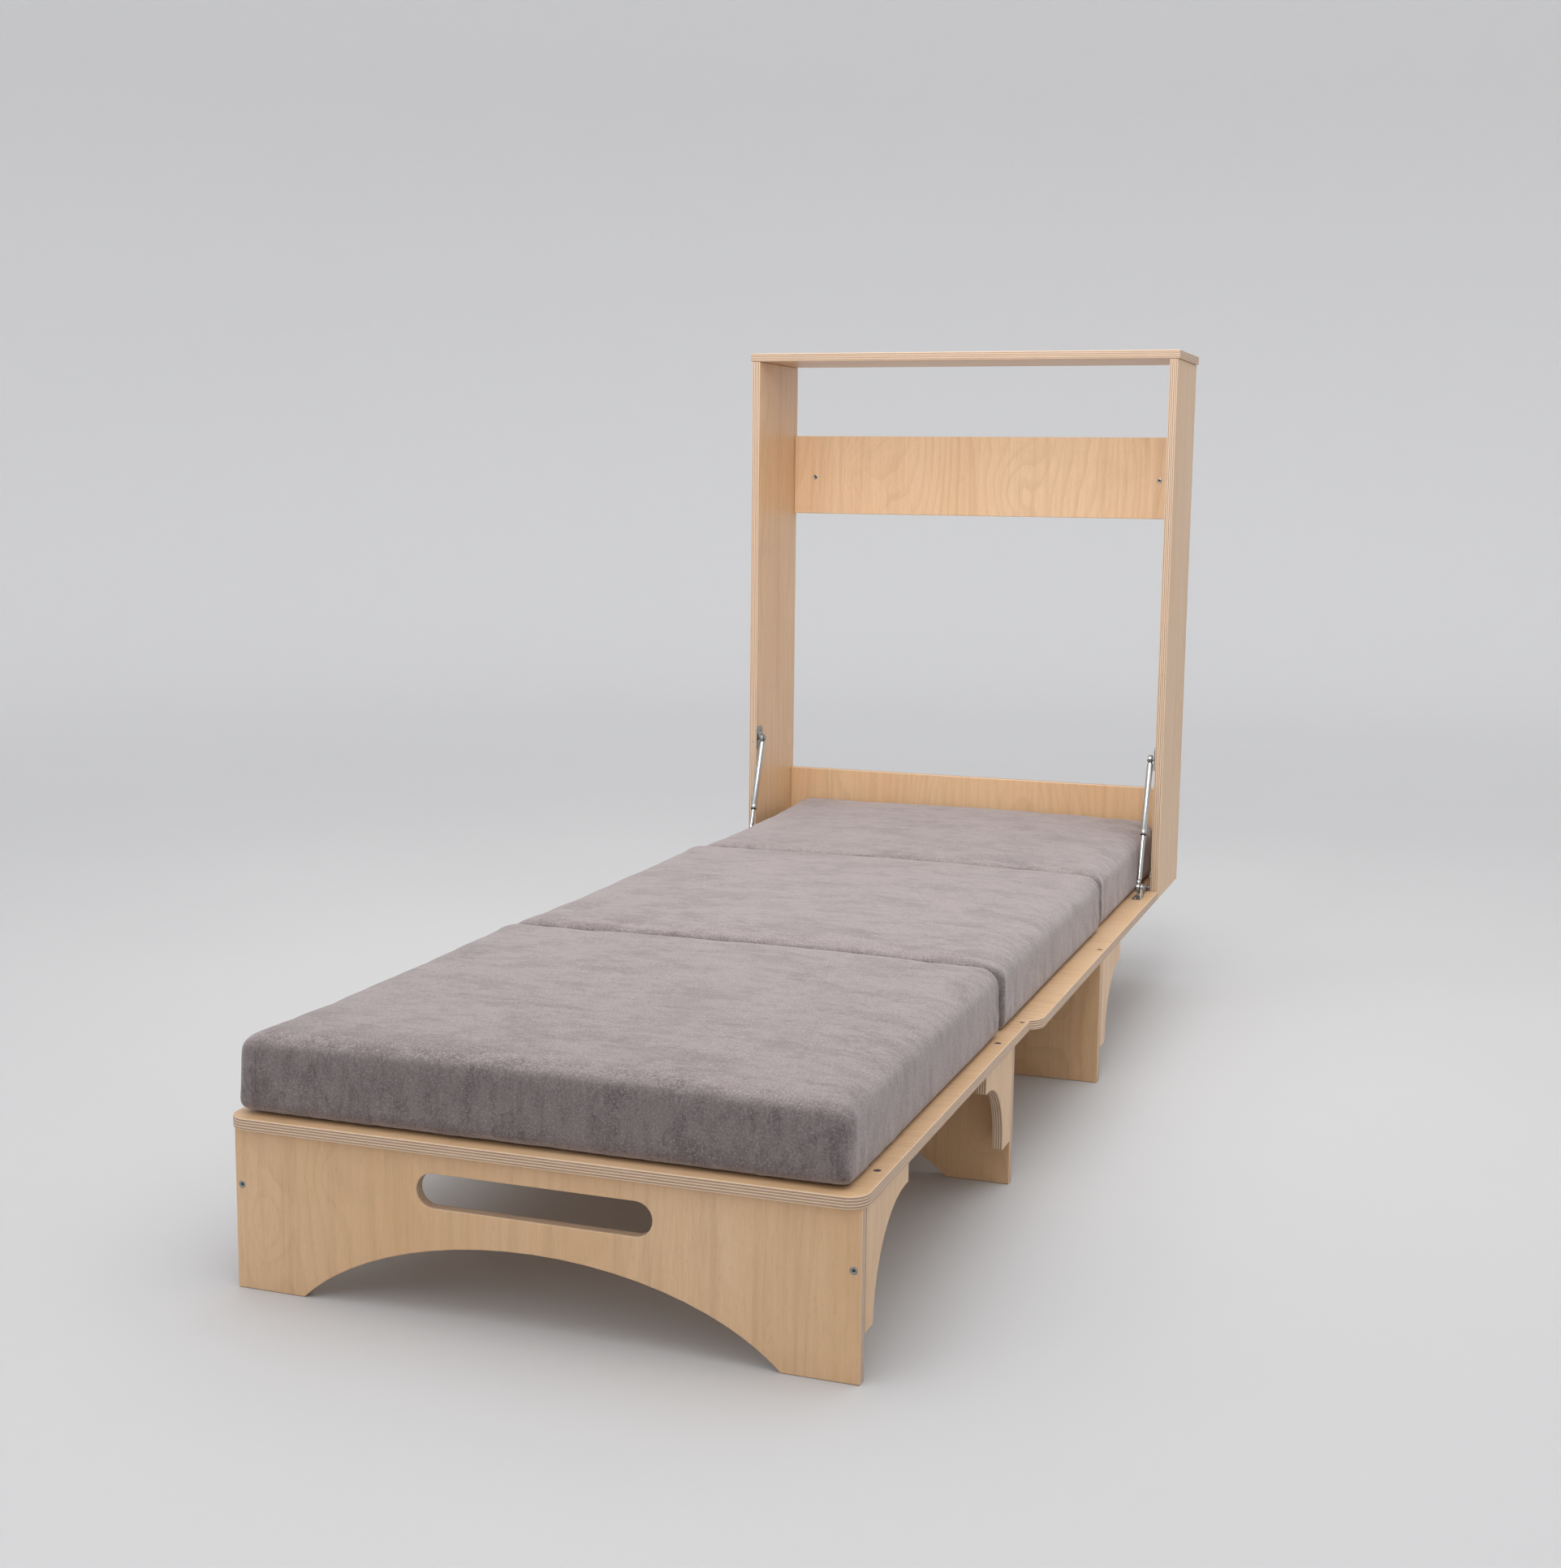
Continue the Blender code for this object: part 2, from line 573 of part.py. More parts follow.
def build_strut(side, sign):
    """Cylinder with its eye and seal on the upper axis, rod with its eye on the lower one."""
    lean = math.atan2(STRUT_TOP[0] - STRUT_FOOT[0], STRUT_TOP[1] - STRUT_FOOT[1])
    x = sign * STRUT_X
    top = add_empty(f"strut_axis_{side}", (x, *STRUT_TOP), (-lean, 0, 0))
    foot = add_empty(f"rod_axis_{side}", (x, *STRUT_FOOT), (-lean, 0, 0))

    eye_fitting(f"strut_head_{side}", top, TUBE_BORE - GAP, -HEAD_NECK, -NECK_START)
    tube_start = EYE_RADIUS + 0.001
    tube_profile = [(TUBE_BORE, -TUBE_END), (TUBE_RADIUS, -TUBE_END),
                    (TUBE_RADIUS, -tube_start), (TUBE_BORE, -tube_start)]
    seal_bore = ROD_RADIUS + GAP
    seal_end = -TUBE_END - SEAL_LENGTH
    seal_profile = [(seal_bore, seal_end), (TUBE_RADIUS, seal_end),
                    (TUBE_RADIUS, -TUBE_END - GAP), (seal_bore, -TUBE_END - GAP)]
    rod_profile = cylinder_profile(ROD_RADIUS, NECK_LENGTH + GAP, ROD_LENGTH)
    eye_fitting(f"rod_end_{side}", foot, ROD_RADIUS - 0.0005, NECK_START, NECK_LENGTH)
    for name, profile, finish, axis_empty in (("strut_tube", tube_profile, "steel", top),
                                              ("strut_seal", seal_profile, "rubber", top),
                                              ("strut_rod", rod_profile, "chrome", foot)):
        obj = add_object(f"{name}_{side}", lathe(profile, 24), finish)
        obj.parent = axis_empty
        smooth_round(obj)


def build_strut_brackets(side, sign, platform):
    """Upper plate and pin on the side panel, lower bracket and pin on the deck."""
    wall_plate(f"strut_bracket_upper_{side}", sign, UPPER_BRACKET,
               (STRUT_TOP[0] + 0.005, STRUT_TOP[1] + 0.001))
    headed_pin(f"strut_pin_upper_{side}", sign, STRUT_X - EYE_WIDTH / 2 - PIN_HEAD_DEPTH - PIN_SHORT,
               INNER_HALF - 2 * GAP - PLATE, "inner", STRUT_TOP)

    pin_start = STRUT_X + EYE_WIDTH / 2 + PIN_SHORT
    ear_x = pin_start + 0.0025
    y, z = STRUT_FOOT
    base_low = DECK_TOP + GAP
    width, length, thickness = LOWER_BASE
    ear = arc((y, z), EAR_RADIUS, 0, 180, 10)
    ear += [(y - LOWER_EAR_FOOT, base_low), (y + LOWER_EAR_FOOT, base_low)]
    base_centre = (sign * (ear_x - 0.0065), y, base_low + thickness / 2)
    angle_bracket(f"strut_bracket_lower_{side}", sign, ear, LOWER_EAR, ear_x, LOWER_BASE, base_centre,
                  (y, z), platform)
    headed_pin(f"strut_pin_lower_{side}", sign, pin_start, ear_x + LOWER_EAR / 2 + GAP, "outer",
               (y, z), platform)


def main():
    clear_scene()
    bench = add_empty("bench_slide_axis", (0, BENCH_BACK, DECK_TOP))
    platform = add_empty("platform_fold_axis", (0, FOLD_Y, FOLD_Z))
    build_wall_frame()
    build_platform(platform)
    build_bench(bench)
    build_mattress(bench, platform)
    for side, sign in (("left", -1), ("right", 1)):
        build_hinge(side, sign, platform)
        build_strut(side, sign)
        build_strut_brackets(side, sign, platform)
    bench.location.x = BENCH_SHIFT


main()
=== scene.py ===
"""Looks of the fold-down wall bed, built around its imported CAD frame.

Birch plywood boards with layered edges, a three-part velour mattress, steel struts and fittings.
"""
import json
import math

import bmesh
import bpy
import numpy as np
from mathutils import Matrix, Vector, noise
from mathutils.bvhtree import BVHTree


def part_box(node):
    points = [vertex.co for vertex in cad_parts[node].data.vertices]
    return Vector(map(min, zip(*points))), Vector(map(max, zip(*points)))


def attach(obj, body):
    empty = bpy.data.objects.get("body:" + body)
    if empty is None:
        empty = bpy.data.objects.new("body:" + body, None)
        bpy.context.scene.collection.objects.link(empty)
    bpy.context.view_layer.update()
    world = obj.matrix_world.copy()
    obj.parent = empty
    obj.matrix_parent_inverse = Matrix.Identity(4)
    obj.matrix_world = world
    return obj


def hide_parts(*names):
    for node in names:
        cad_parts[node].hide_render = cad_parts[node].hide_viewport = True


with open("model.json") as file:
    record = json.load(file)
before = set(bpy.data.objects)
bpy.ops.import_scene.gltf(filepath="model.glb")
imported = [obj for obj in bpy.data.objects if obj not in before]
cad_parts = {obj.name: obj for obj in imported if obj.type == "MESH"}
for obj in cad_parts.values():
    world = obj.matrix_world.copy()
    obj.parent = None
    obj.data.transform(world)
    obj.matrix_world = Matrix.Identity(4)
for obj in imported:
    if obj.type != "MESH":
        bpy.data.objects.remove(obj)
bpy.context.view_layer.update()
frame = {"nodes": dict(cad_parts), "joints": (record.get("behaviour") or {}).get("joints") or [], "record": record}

PLY = 0.015                  # board thickness
LAYERS = 9                   # veneers in a board
AXES = {"x": 0, "y": 1, "z": 2}
NODES = frame["nodes"]
JOINTS = {joint["name"]: joint for joint in frame["joints"]}
SIDES = (("left", -1), ("right", 1))
PLUG_INSET = (0.008, 0.014)  # deck plugs, from the side and the back of the bench's panel


# ---------------------------------------------------------------- shader helper
class Shader:
    """A Principled material and short ways to wire its nodes."""

    def __init__(self, name, **values):
        self.material = bpy.data.materials.new(name)
        self.material.use_nodes = True
        self.tree = self.material.node_tree
        self.principled = self.tree.nodes["Principled BSDF"]
        for key, value in values.items():
            self.set(key.replace("_", " ").title(), value)
        self.coordinates = self.add("ShaderNodeTexCoord")

    def add(self, kind, **properties):
        node = self.tree.nodes.new(kind)
        for key, value in properties.items():
            setattr(node, key, value)
        return node

    def put(self, socket, value):
        if isinstance(value, bpy.types.NodeSocket):
            self.tree.links.new(value, socket)
        elif isinstance(value, (tuple, list)) and socket.type == "RGBA":
            socket.default_value = (*value[:3], 1.0)
        else:
            socket.default_value = value

    def set(self, name, value):
        self.put(self.principled.inputs[name], value)

    def math(self, operation, *values):
        node = self.add("ShaderNodeMath", operation=operation)
        for socket, value in zip(node.inputs, values):
            self.put(socket, value)
        return node.outputs[0]

    def sum(self, *values):
        total = values[0]
        for value in values[1:]:
            total = self.math("ADD", total, value)
        return total

    def mix(self, factor, a, b, blend="MIX"):
        node = self.add("ShaderNodeMix", data_type="RGBA", blend_type=blend, clamp_factor=True)
        for socket, value in zip((node.inputs[0], node.inputs[6], node.inputs[7]), (factor, a, b)):
            self.put(socket, value)
        return node.outputs[2]

    def blend(self, factor, a, b):
        """Number between a and b."""
        node = self.add("ShaderNodeMix", data_type="FLOAT", clamp_factor=True)
        sockets = (node.inputs[0], node.inputs[2], node.inputs[3])
        for socket, value in zip(sockets, (factor, a, b)):
            self.put(socket, value)
        return node.outputs[0]

    def ramp(self, factor, low, high):
        """0 at low, 1 at high, with a smooth step between; low may be the larger number."""
        node = self.add("ShaderNodeMapRange", clamp=True, interpolation_type="SMOOTHSTEP")
        for socket, value in zip(node.inputs, (factor, low, high, 0.0, 1.0)):
            self.put(socket, value)
        return node.outputs[0]

    def scaled(self, vector, scale, shift=(0, 0, 0)):
        node = self.add("ShaderNodeMapping")
        self.put(node.inputs["Vector"], vector)
        node.inputs["Scale"].default_value = scale
        node.inputs["Location"].default_value = shift
        return node.outputs[0]

    def noise(self, vector, detail=2.0, roughness=0.5, distortion=0.0):
        node = self.add("ShaderNodeTexNoise", noise_dimensions="3D")
        self.put(node.inputs["Vector"], vector)
        for key, value in (("Scale", 1.0), ("Detail", detail), ("Roughness", roughness),
                           ("Distortion", distortion)):
            node.inputs[key].default_value = value
        return node.outputs["Fac"]

    def bump(self, height, distance, strength=1.0):
        node = self.add("ShaderNodeBump")
        node.inputs["Strength"].default_value = strength
        node.inputs["Distance"].default_value = distance
        self.put(node.inputs["Height"], height)
        self.set("Normal", node.outputs[0])


# ---------------------------------------------------------------- plywood
FACE_PALE = (0.760, 0.520, 0.318)
FACE_WARM = (0.690, 0.420, 0.212)
FACE_LINE = (0.430, 0.255, 0.125)
LONG_GRAIN = (0.760, 0.570, 0.410)
END_GRAIN = (0.310, 0.180, 0.108)
GLUE = (0.160, 0.085, 0.048)


def plywood(name, thick, grain, seed, warmth=0.4, shade=1.0, eyes=()):
    """Birch plywood: rotary-cut face veneer, and stacked layers wherever a face isn't flat on.

    eyes are ovals in the figure: (across, along, half width, half height, rings).
    """
    s = Shader(name, roughness=0.42, coat_weight=0.12, coat_roughness=0.28)
    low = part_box(name)[0][AXES[thick]]
    across = ({"x", "y", "z"} - {thick, grain}).pop()
    place = s.add("ShaderNodeSeparateXYZ")
    s.put(place.inputs[0], s.coordinates.outputs["Object"])
    u, v, w = (place.outputs[AXES[a]] for a in (across, grain, thick))
    flat = s.add("ShaderNodeCombineXYZ")
    for socket, value in zip(flat.inputs, (u, v, 0.37 * seed)):
        s.put(socket, value)
    flat = flat.outputs[0]

    # growth rings as the knife meets them: lines along the grain that close into ovals
    swell = s.noise(s.scaled(flat, (5.0, 1.5, 1.0)), 1.0, 0.5)
    ripple = s.noise(s.scaled(flat, (26.0, 7.0, 1.0)), 2.0, 0.5)
    field = s.sum(s.math("MULTIPLY", u, 46.0), s.math("MULTIPLY", swell, 17.0),
                  s.math("MULTIPLY", ripple, 1.1))
    for centre_u, centre_v, half_u, half_v, rings in eyes:
        du = s.math("DIVIDE", s.math("SUBTRACT", u, centre_u), half_u)
        dv = s.math("DIVIDE", s.math("SUBTRACT", v, centre_v), half_v)
        away = s.sum(s.math("MULTIPLY", du, du), s.math("MULTIPLY", dv, dv))
        hill = s.math("POWER", math.e, s.math("MULTIPLY", away, -1.0))
        field = s.math("ADD", field, s.math("MULTIPLY", hill, rings))
    ring = s.math("FRACT", field)
    late = s.math("MULTIPLY", s.ramp(ring, 0.45, 0.93), s.ramp(ring, 1.0, 0.93))
    fade = s.ramp(s.noise(s.scaled(flat, (7.0, 2.5, 1.0), (3.1, 1.7, 0.0))), 0.30, 0.70)
    late = s.math("MULTIPLY", late, s.blend(fade, 0.04, 0.22))

    cloud = s.noise(s.scaled(flat, (6.5, 2.2, 1.0), (9.0, 4.0, 0.0)), 3.0, 0.55)
    streak = s.noise(s.scaled(flat, (85.0, 2.4, 1.0)), 3.0, 0.6)
    fibre = s.noise(s.scaled(flat, (1300.0, 45.0, 1.0)), 2.0, 0.6)
    fleck = s.ramp(s.noise(s.scaled(flat, (620.0, 95.0, 1.0), (5.0, 2.0, 0.0)), 1.0), 0.66, 0.76)
    wisp = s.ramp(s.noise(s.scaled(flat, (9.0, 13.0, 1.0), (2.0, 8.0, 0.0)), 4.0, 0.6), 0.52, 0.80)

    warm = s.sum(s.math("MULTIPLY", cloud, 1.5), warmth - 0.75)
    face = s.mix(warm, FACE_PALE, FACE_WARM)
    face = s.mix(s.math("MULTIPLY", s.ramp(streak, 0.42, 0.75), 0.26), face, FACE_LINE)
    face = s.mix(s.math("MULTIPLY", wisp, 0.14), face, FACE_LINE)
    face = s.mix(late, face, FACE_LINE)
    face = s.mix(s.math("MULTIPLY", s.ramp(fibre, 0.35, 0.75), 0.20), face, FACE_LINE)
    face = s.mix(s.math("MULTIPLY", fleck, 0.30), face, FACE_LINE)

    # the edge: veneers in turn along and across, with a glue line between them
    depth = s.math("MULTIPLY", s.math("SUBTRACT", w, low), LAYERS / PLY)
    layer = s.math("FLOOR", depth)
    within = s.math("FRACT", depth)
    crossed = s.math("GREATER_THAN", s.math("FRACT", s.math("MULTIPLY", layer, 0.5)), 0.25)
    spread = s.add("ShaderNodeCombineXYZ")
    for socket, value in zip(spread.inputs, (u, v, s.math("MULTIPLY", layer, 3.7))):
        s.put(socket, value)
    spread = spread.outputs[0]
    uneven = s.noise(s.scaled(spread, (16.0, 16.0, 1.0)), 3.0, 0.6)
    pores = s.noise(s.scaled(spread, (900.0, 900.0, 1.0)), 2.0, 0.6)
    edge = s.mix(s.math("MULTIPLY", crossed, s.blend(uneven, 0.50, 1.0)), LONG_GRAIN, END_GRAIN)
    edge = s.mix(s.math("MULTIPLY", s.ramp(pores, 0.45, 0.75), 0.22), edge, END_GRAIN)
    line = s.math("MAXIMUM", s.ramp(within, 0.14, 0.02), s.ramp(within, 0.88, 0.99))
    edge = s.mix(s.math("MULTIPLY", line, 0.42), edge, GLUE)

    facing = s.add("ShaderNodeSeparateXYZ")
    s.put(facing.inputs[0], s.coordinates.outputs["Normal"])
    square_on = s.math("ABSOLUTE", facing.outputs[AXES[thick]])
    is_edge = s.ramp(square_on, 0.93, 0.80)
    colour = s.mix(is_edge, face, edge)
    # painted light: shade scales the whole board's colour, making lit and shaded copies of the same plywood
    colour = s.mix(1.0, colour, (shade, shade, shade), "MULTIPLY")
    s.set("Base Color", colour)
    s.set("Roughness", s.sum(s.math("MULTIPLY", streak, 0.10), s.math("MULTIPLY", is_edge, 0.16),
                             0.35))
    relief = s.blend(is_edge, s.sum(s.math("MULTIPLY", fibre, 0.5), s.math("MULTIPLY", late, 0.4)),
                     s.sum(pores, s.math("MULTIPLY", line, -1.2)))
    s.bump(relief, 0.00012)
    return s.material


# node: (thickness axis, grain axis, warmth, shade, ovals); shade is painted light, a brightness factor for each
# board
BOARDS = {
    "bench_front_leg": ("y", "z", 0.45, 0.98, ((-0.352, 0.085, 0.026, 0.042, 2.2),
                                              (0.232, 0.118, 0.034, 0.062, 2.6),
                                              (-0.262, 0.150, 0.030, 0.030, 1.2))),
    "bench_rear_leg": ("y", "z", 0.50, 0.96, ((0.330, 0.090, 0.030, 0.060, 4.0),)),
    "bench_panel": ("z", "x", 0.35, 1.0, ()),
    "bench_front_gusset_left": ("x", "z", 0.40, 1.0, ()),
    "bench_front_gusset_right": ("x", "z", 0.40, 1.0, ()),
    "bench_rear_gusset_left": ("x", "z", 0.40, 1.0, ()),
    "bench_rear_gusset_right": ("x", "z", 0.40, 1.0, ()),
    "platform_panel": ("z", "x", 0.35, 1.0, ()),
    "shelf_leg": ("y", "z", 0.62, 0.94, ((0.300, 0.075, 0.060, 0.050, 2.2),)),
    "shelf_gusset_left": ("x", "z", 0.40, 1.0, ()),
    "shelf_gusset_right": ("x", "z", 0.40, 1.0, ()),
    "side_panel_left": ("x", "z", 0.30, 1.05, ()),
    "side_panel_right": ("x", "z", 0.30, 1.0, ()),
    "top_panel": ("z", "x", 0.45, 1.0, ()),
    "upper_wall_rail": ("y", "z", 0.10, 1.05, ((-0.270, 0.975, 0.030, 0.050, 2.5),
                                             (0.060, 0.960, 0.045, 0.060, 2.0))),
    "lower_wall_rail": ("y", "z", 0.40, 1.0, ()),
}


def dress_boards():
    for seed, (name, (thick, grain, warmth, shade, eyes)) in enumerate(BOARDS.items(), 1):
        board = NODES[name]
        board.data.materials.clear()
        board.data.materials.append(plywood(name, thick, grain, seed, warmth, shade, eyes))


# ---------------------------------------------------------------- fabric
VELOUR_PALE = (0.338, 0.284, 0.281)
VELOUR_DEEP = (0.212, 0.176, 0.174)
PILE_DARK = (0.135, 0.110, 0.110)
PILE_PALE = (0.540, 0.475, 0.470)


def velour():
    """Brushed velour: crushed patches, long brushed streaks, fine pile.

    The cover's "top" value turns the streaks across the bed; its second value is painted shade that darkens the
    sides and ends.
    """
    s = Shader("velour", roughness=0.92, sheen_weight=0.55, sheen_roughness=0.42)
    s.set("Sheen Tint", (0.86, 0.80, 0.80, 1.0))
    s.set("Specular IOR Level", 0.12)
    spot = s.coordinates.outputs["Object"]
    top = s.add("ShaderNodeAttribute", attribute_name="top").outputs["Fac"]

    def brushed(scale_top, scale_side, **detail):
        return s.blend(top, s.noise(s.scaled(spot, scale_side), **detail),
                       s.noise(s.scaled(spot, scale_top), **detail))

    patch = brushed((8.0, 15.0, 9.0), (13.0, 13.0, 8.0),
                    detail=10.0, roughness=0.78, distortion=0.3)
    crush = brushed((26.0, 60.0, 30.0), (52.0, 52.0, 20.0), detail=7.0, roughness=0.78)
    streak = brushed((30.0, 260.0, 60.0), (260.0, 260.0, 26.0), detail=3.0, roughness=0.6)
    pile = s.noise(s.scaled(spot, (760.0, 760.0, 760.0)), 2.0, 0.7)
    grainy = s.noise(s.scaled(spot, (400.0, 400.0, 400.0)), 2.0, 0.7)

    shade = s.sum(s.math("MULTIPLY", s.ramp(patch, 0.495, 0.555), 0.52),
                  s.math("MULTIPLY", s.ramp(crush, 0.49, 0.56), 0.44),
                  s.math("MULTIPLY", s.ramp(streak, 0.40, 0.70), 0.20))
    colour = s.mix(shade, VELOUR_PALE, VELOUR_DEEP)
    colour = s.mix(s.math("MULTIPLY", s.ramp(pile, 0.38, 0.68), 0.46), colour, PILE_DARK)
    colour = s.mix(s.math("MULTIPLY", s.ramp(grainy, 0.46, 0.68), 0.42), colour, PILE_PALE)
    # painted shade: the cover's sides and ends are darkened towards black, the top is left as it is
    painted_side_shade = s.add("ShaderNodeAttribute", attribute_name="painted_side_shade").outputs["Fac"]
    colour = s.mix(painted_side_shade, (0.0, 0.0, 0.0), colour)
    s.set("Base Color", colour)
    s.bump(s.sum(s.math("MULTIPLY", pile, 0.5), s.math("MULTIPLY", grainy, 0.35),
                 s.math("MULTIPLY", crush, 1.1), s.math("MULTIPLY", streak, 0.5)), 0.0007, 0.8)
    return s.material


def thread():
    s = Shader("thread", roughness=0.75)
    twist = s.noise(s.scaled(s.coordinates.outputs["Object"], (1500.0, 1500.0, 1500.0)), 1.0)
    s.set("Base Color", s.mix(twist, (0.150, 0.125, 0.124), (0.240, 0.205, 0.203)))
    return s.material


# ---------------------------------------------------------------- metal and rubber
def metal(name, colour, roughness, stain=0.10):
    """Metal with fine scratches; stain is the share of it that darker clouds cover."""
    s = Shader(name, metallic=1.0, roughness=roughness)
    spot = s.coordinates.outputs["Object"]
    scratch = s.noise(s.scaled(spot, (1400.0, 1400.0, 1400.0)), 2.0, 0.6)
    cloud = s.noise(s.scaled(spot, (70.0, 70.0, 70.0)), 3.0, 0.6)
    dark = tuple(channel * 0.62 for channel in colour)
    stained = s.math("MULTIPLY", s.ramp(cloud, 0.45, 0.80), stain * 3.0)
    s.set("Base Color", s.mix(stained, colour, dark))
    s.set("Roughness", s.sum(s.math("MULTIPLY", scratch, 0.14), s.math("MULTIPLY", cloud, 0.08),
                             roughness - 0.09))
    s.bump(scratch, 0.00002)
    return s.material


def rubber():
    s = Shader("seal", roughness=0.6)
    dust = s.noise(s.scaled(s.coordinates.outputs["Object"], (800.0, 800.0, 800.0)), 3.0, 0.6)
    s.set("Base Color", s.mix(dust, (0.012, 0.012, 0.012), (0.055, 0.054, 0.053)))
    s.bump(dust, 0.00005)
    return s.material


# ---------------------------------------------------------------- mesh helpers
def add_piece(name, builder, material, body=None, replaces=(), smooth=35):
    """Turn a bmesh into a piece of the object that rides on a body."""
    mesh = bpy.data.meshes.new(name)
    bmesh.ops.recalc_face_normals(builder, faces=builder.faces)
    builder.to_mesh(mesh)
    builder.free()
    obj = bpy.data.objects.new(name, mesh)
    bpy.context.scene.collection.objects.link(obj)
    mesh.materials.append(material)
    mesh.shade_smooth()
    if smooth:
        mesh.set_sharp_from_angle(angle=math.radians(smooth))
    if body:
        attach(obj, body)
    if replaces:
        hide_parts(*replaces)
    return obj


def basis(origin, along):
    """Matrix whose Z runs along a direction, at an origin."""
    return Matrix.Translation(origin) @ Vector(along).to_track_quat("Z", "Y").to_matrix().to_4x4()


def lathe(profile, matrix=Matrix.Identity(4), segments=48, into=None):
    """Turned shape. A profile point is (radius, height) or (flats radius, height, sides)."""
    bm = into or bmesh.new()
    rings = []
    for point in profile:
        radius, height = point[:2]
        ring = []
        for i in range(segments):
            turn = 2 * math.pi * i / segments
            reach = radius
            if len(point) > 2:
                half = math.pi / point[2]
                reach = radius * math.cos(half) / math.cos(turn % (2 * half) - half)
            spot = matrix @ Vector((reach * math.cos(turn), reach * math.sin(turn), height))
            ring.append(bm.verts.new(spot))
        rings.append(ring)
    for a, b in zip(rings, rings[1:]):
        for i in range(segments):
            j = (i + 1) % segments
            bm.faces.new((a[i], a[j], b[j], b[i]))
    bm.faces.new(rings[0][::-1])
    bm.faces.new(rings[-1])
    return bm


def rounded_slab(size, matrix, radius, bevel):
    """Plate in the local XY plane with round corners and softened edges."""
    bm = bmesh.new()
    made = bmesh.ops.create_cube(bm, size=1.0, matrix=Matrix.Diagonal((*size, 1.0)))
    verts = made["verts"]
    upright = [e for e in {e for v in verts for e in v.link_edges}
               if abs(e.verts[0].co.z - e.verts[1].co.z) > size[2] / 2]
    out = bmesh.ops.bevel(bm, geom=upright, offset=radius, segments=5, affect="EDGES", profile=0.5)
    verts = {v for v in verts if v.is_valid} | set(out["verts"])
    rim = [e for e in {e for v in verts for e in v.link_edges}
           if abs(e.verts[0].co.z - e.verts[1].co.z) < 1e-7
           and e.calc_face_angle(0.0) > math.radians(60)]
    out = bmesh.ops.bevel(bm, geom=rim, offset=bevel, segments=2, affect="EDGES", profile=0.5)
    verts = {v for v in verts if v.is_valid} | set(out["verts"])
    bmesh.ops.transform(bm, matrix=matrix, verts=list(verts))
    return bm


def read_points(mesh):
    points = np.zeros(len(mesh.vertices) * 3)
    mesh.vertices.foreach_get("co", points)
    return points.reshape(-1, 3)


def span(name, origin, direction):
    """Nearest and farthest reach of a CAD node from an origin, along a direction."""
    reach = (read_points(NODES[name].data) - np.array(origin)) @ np.array(direction)
    return reach.min(), reach.max()


# ---------------------------------------------------------------- screws
def socket_screw(builder, matrix, head, depth):
    """Countersunk screw with a hexagon socket. Local +Z points out of the wood from its face."""
    socket = head * 0.50
    profile = [(head * 0.40, -depth), (head * 0.40, -head * 0.62), (head * 0.97, -head * 0.10),
               (head, -head * 0.04), (head * 0.93, 0.0), (head * 0.70, 0.00010),
               (socket * 1.18, 0.0, 6), (socket, -head * 0.06, 6), (socket, -head * 0.42, 6),
               (head * 0.10, -head * 0.52)]
    return lathe(profile, matrix, 36, builder)


def dress_screws(bright, dark, painted_socket_shade):
    """Bright screws in the upright boards, darkened ones in the decks, each socket lined in black as painted
    shade.
    """
    for body, members in frame["record"]["behaviour"]["bodies"].items():
        for name in members:
            if "screw" not in name:
                continue
            low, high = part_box(name)
            middle = (low + high) / 2
            if "leg_screw" in name or "wall_screw" in name:
                matrix = basis((middle.x, low.y, middle.z), (0, -1, 0))
                depth, material = high.y - low.y, bright
            else:
                matrix = basis((middle.x, middle.y, high.z), (0, 0, 1))
                depth, material = high.z - low.z, dark
            head = (high.x - low.x) / 2
            # painted shade: a black six-sided lining inside each socket stands for the shade in the hollow
            hexagon = head * 0.47
            socket_shade_lining = lathe([(hexagon, -head * 0.40, 6), (hexagon, -head * 0.10, 6)], matrix, 36)
            add_piece(f"look_{name}_socket", socket_shade_lining, painted_socket_shade, body)
            add_piece("look_" + name, socket_screw(bmesh.new(), matrix, head, depth), material,
                      body, (name,))


def pan_screw(builder, at, out, radius=0.0030, height=0.0014):
    """Low round head with a cross-shaped dimple, standing on a plate."""
    matrix = basis(at, out)
    profile = [(radius * 0.5, -0.0006), (radius, -0.0002), (radius, height * 0.35),
               (radius * 0.88, height * 0.72), (radius * 0.62, height * 0.95),
               (radius * 0.34, height, 4), (radius * 0.26, height * 0.30, 4)]
    lathe(profile, matrix, 24, builder)


# ---------------------------------------------------------------- struts
EYE_RADIUS, EYE_WIDTH, EYE_BORE = 0.0080, 0.0070, 0.0029
NECK_OUT = 0.0051            # a neck starts this far from its eye's centre
UPPER_NECK, LOWER_NECK = 0.0036, 0.0034
NECK_IN_TUBE = 0.0015        # the upper neck's reach into the cylinder
EYE_SIDES = 40


def strut_frame(side):
    """Centre of a strut's upper pin, and the direction down the strut."""
    top = Vector(JOINTS[f"strut_swing_{side}"]["pos_m"])
    down = -Vector(JOINTS[f"rod_travel_{side}"]["axis"]).normalized()
    return top, down


def eye(builder, centre, radius, width, bore):
    """Add a ring across X with rounded rims."""
    half = width / 2
    lip = width * 0.14
    profile = [(bore, -half + lip * 0.5), (bore + lip * 0.5, -half), (radius - lip, -half),
               (radius, -half + lip), (radius, half - lip), (radius - lip, half),
               (bore + lip * 0.5, half), (bore, half - lip * 0.5)]
    matrix = basis(centre, (1, 0, 0))
    rings = []
    for r, h in profile:
        rings.append([builder.verts.new(matrix @ Vector((r * math.cos(t), r * math.sin(t), h)))
                      for t in (2 * math.pi * i / EYE_SIDES for i in range(EYE_SIDES))])
    for a, b in zip(rings, rings[1:] + rings[:1]):
        for i in range(EYE_SIDES):
            j = (i + 1) % EYE_SIDES
            builder.faces.new((a[i], a[j], b[j], b[i]))


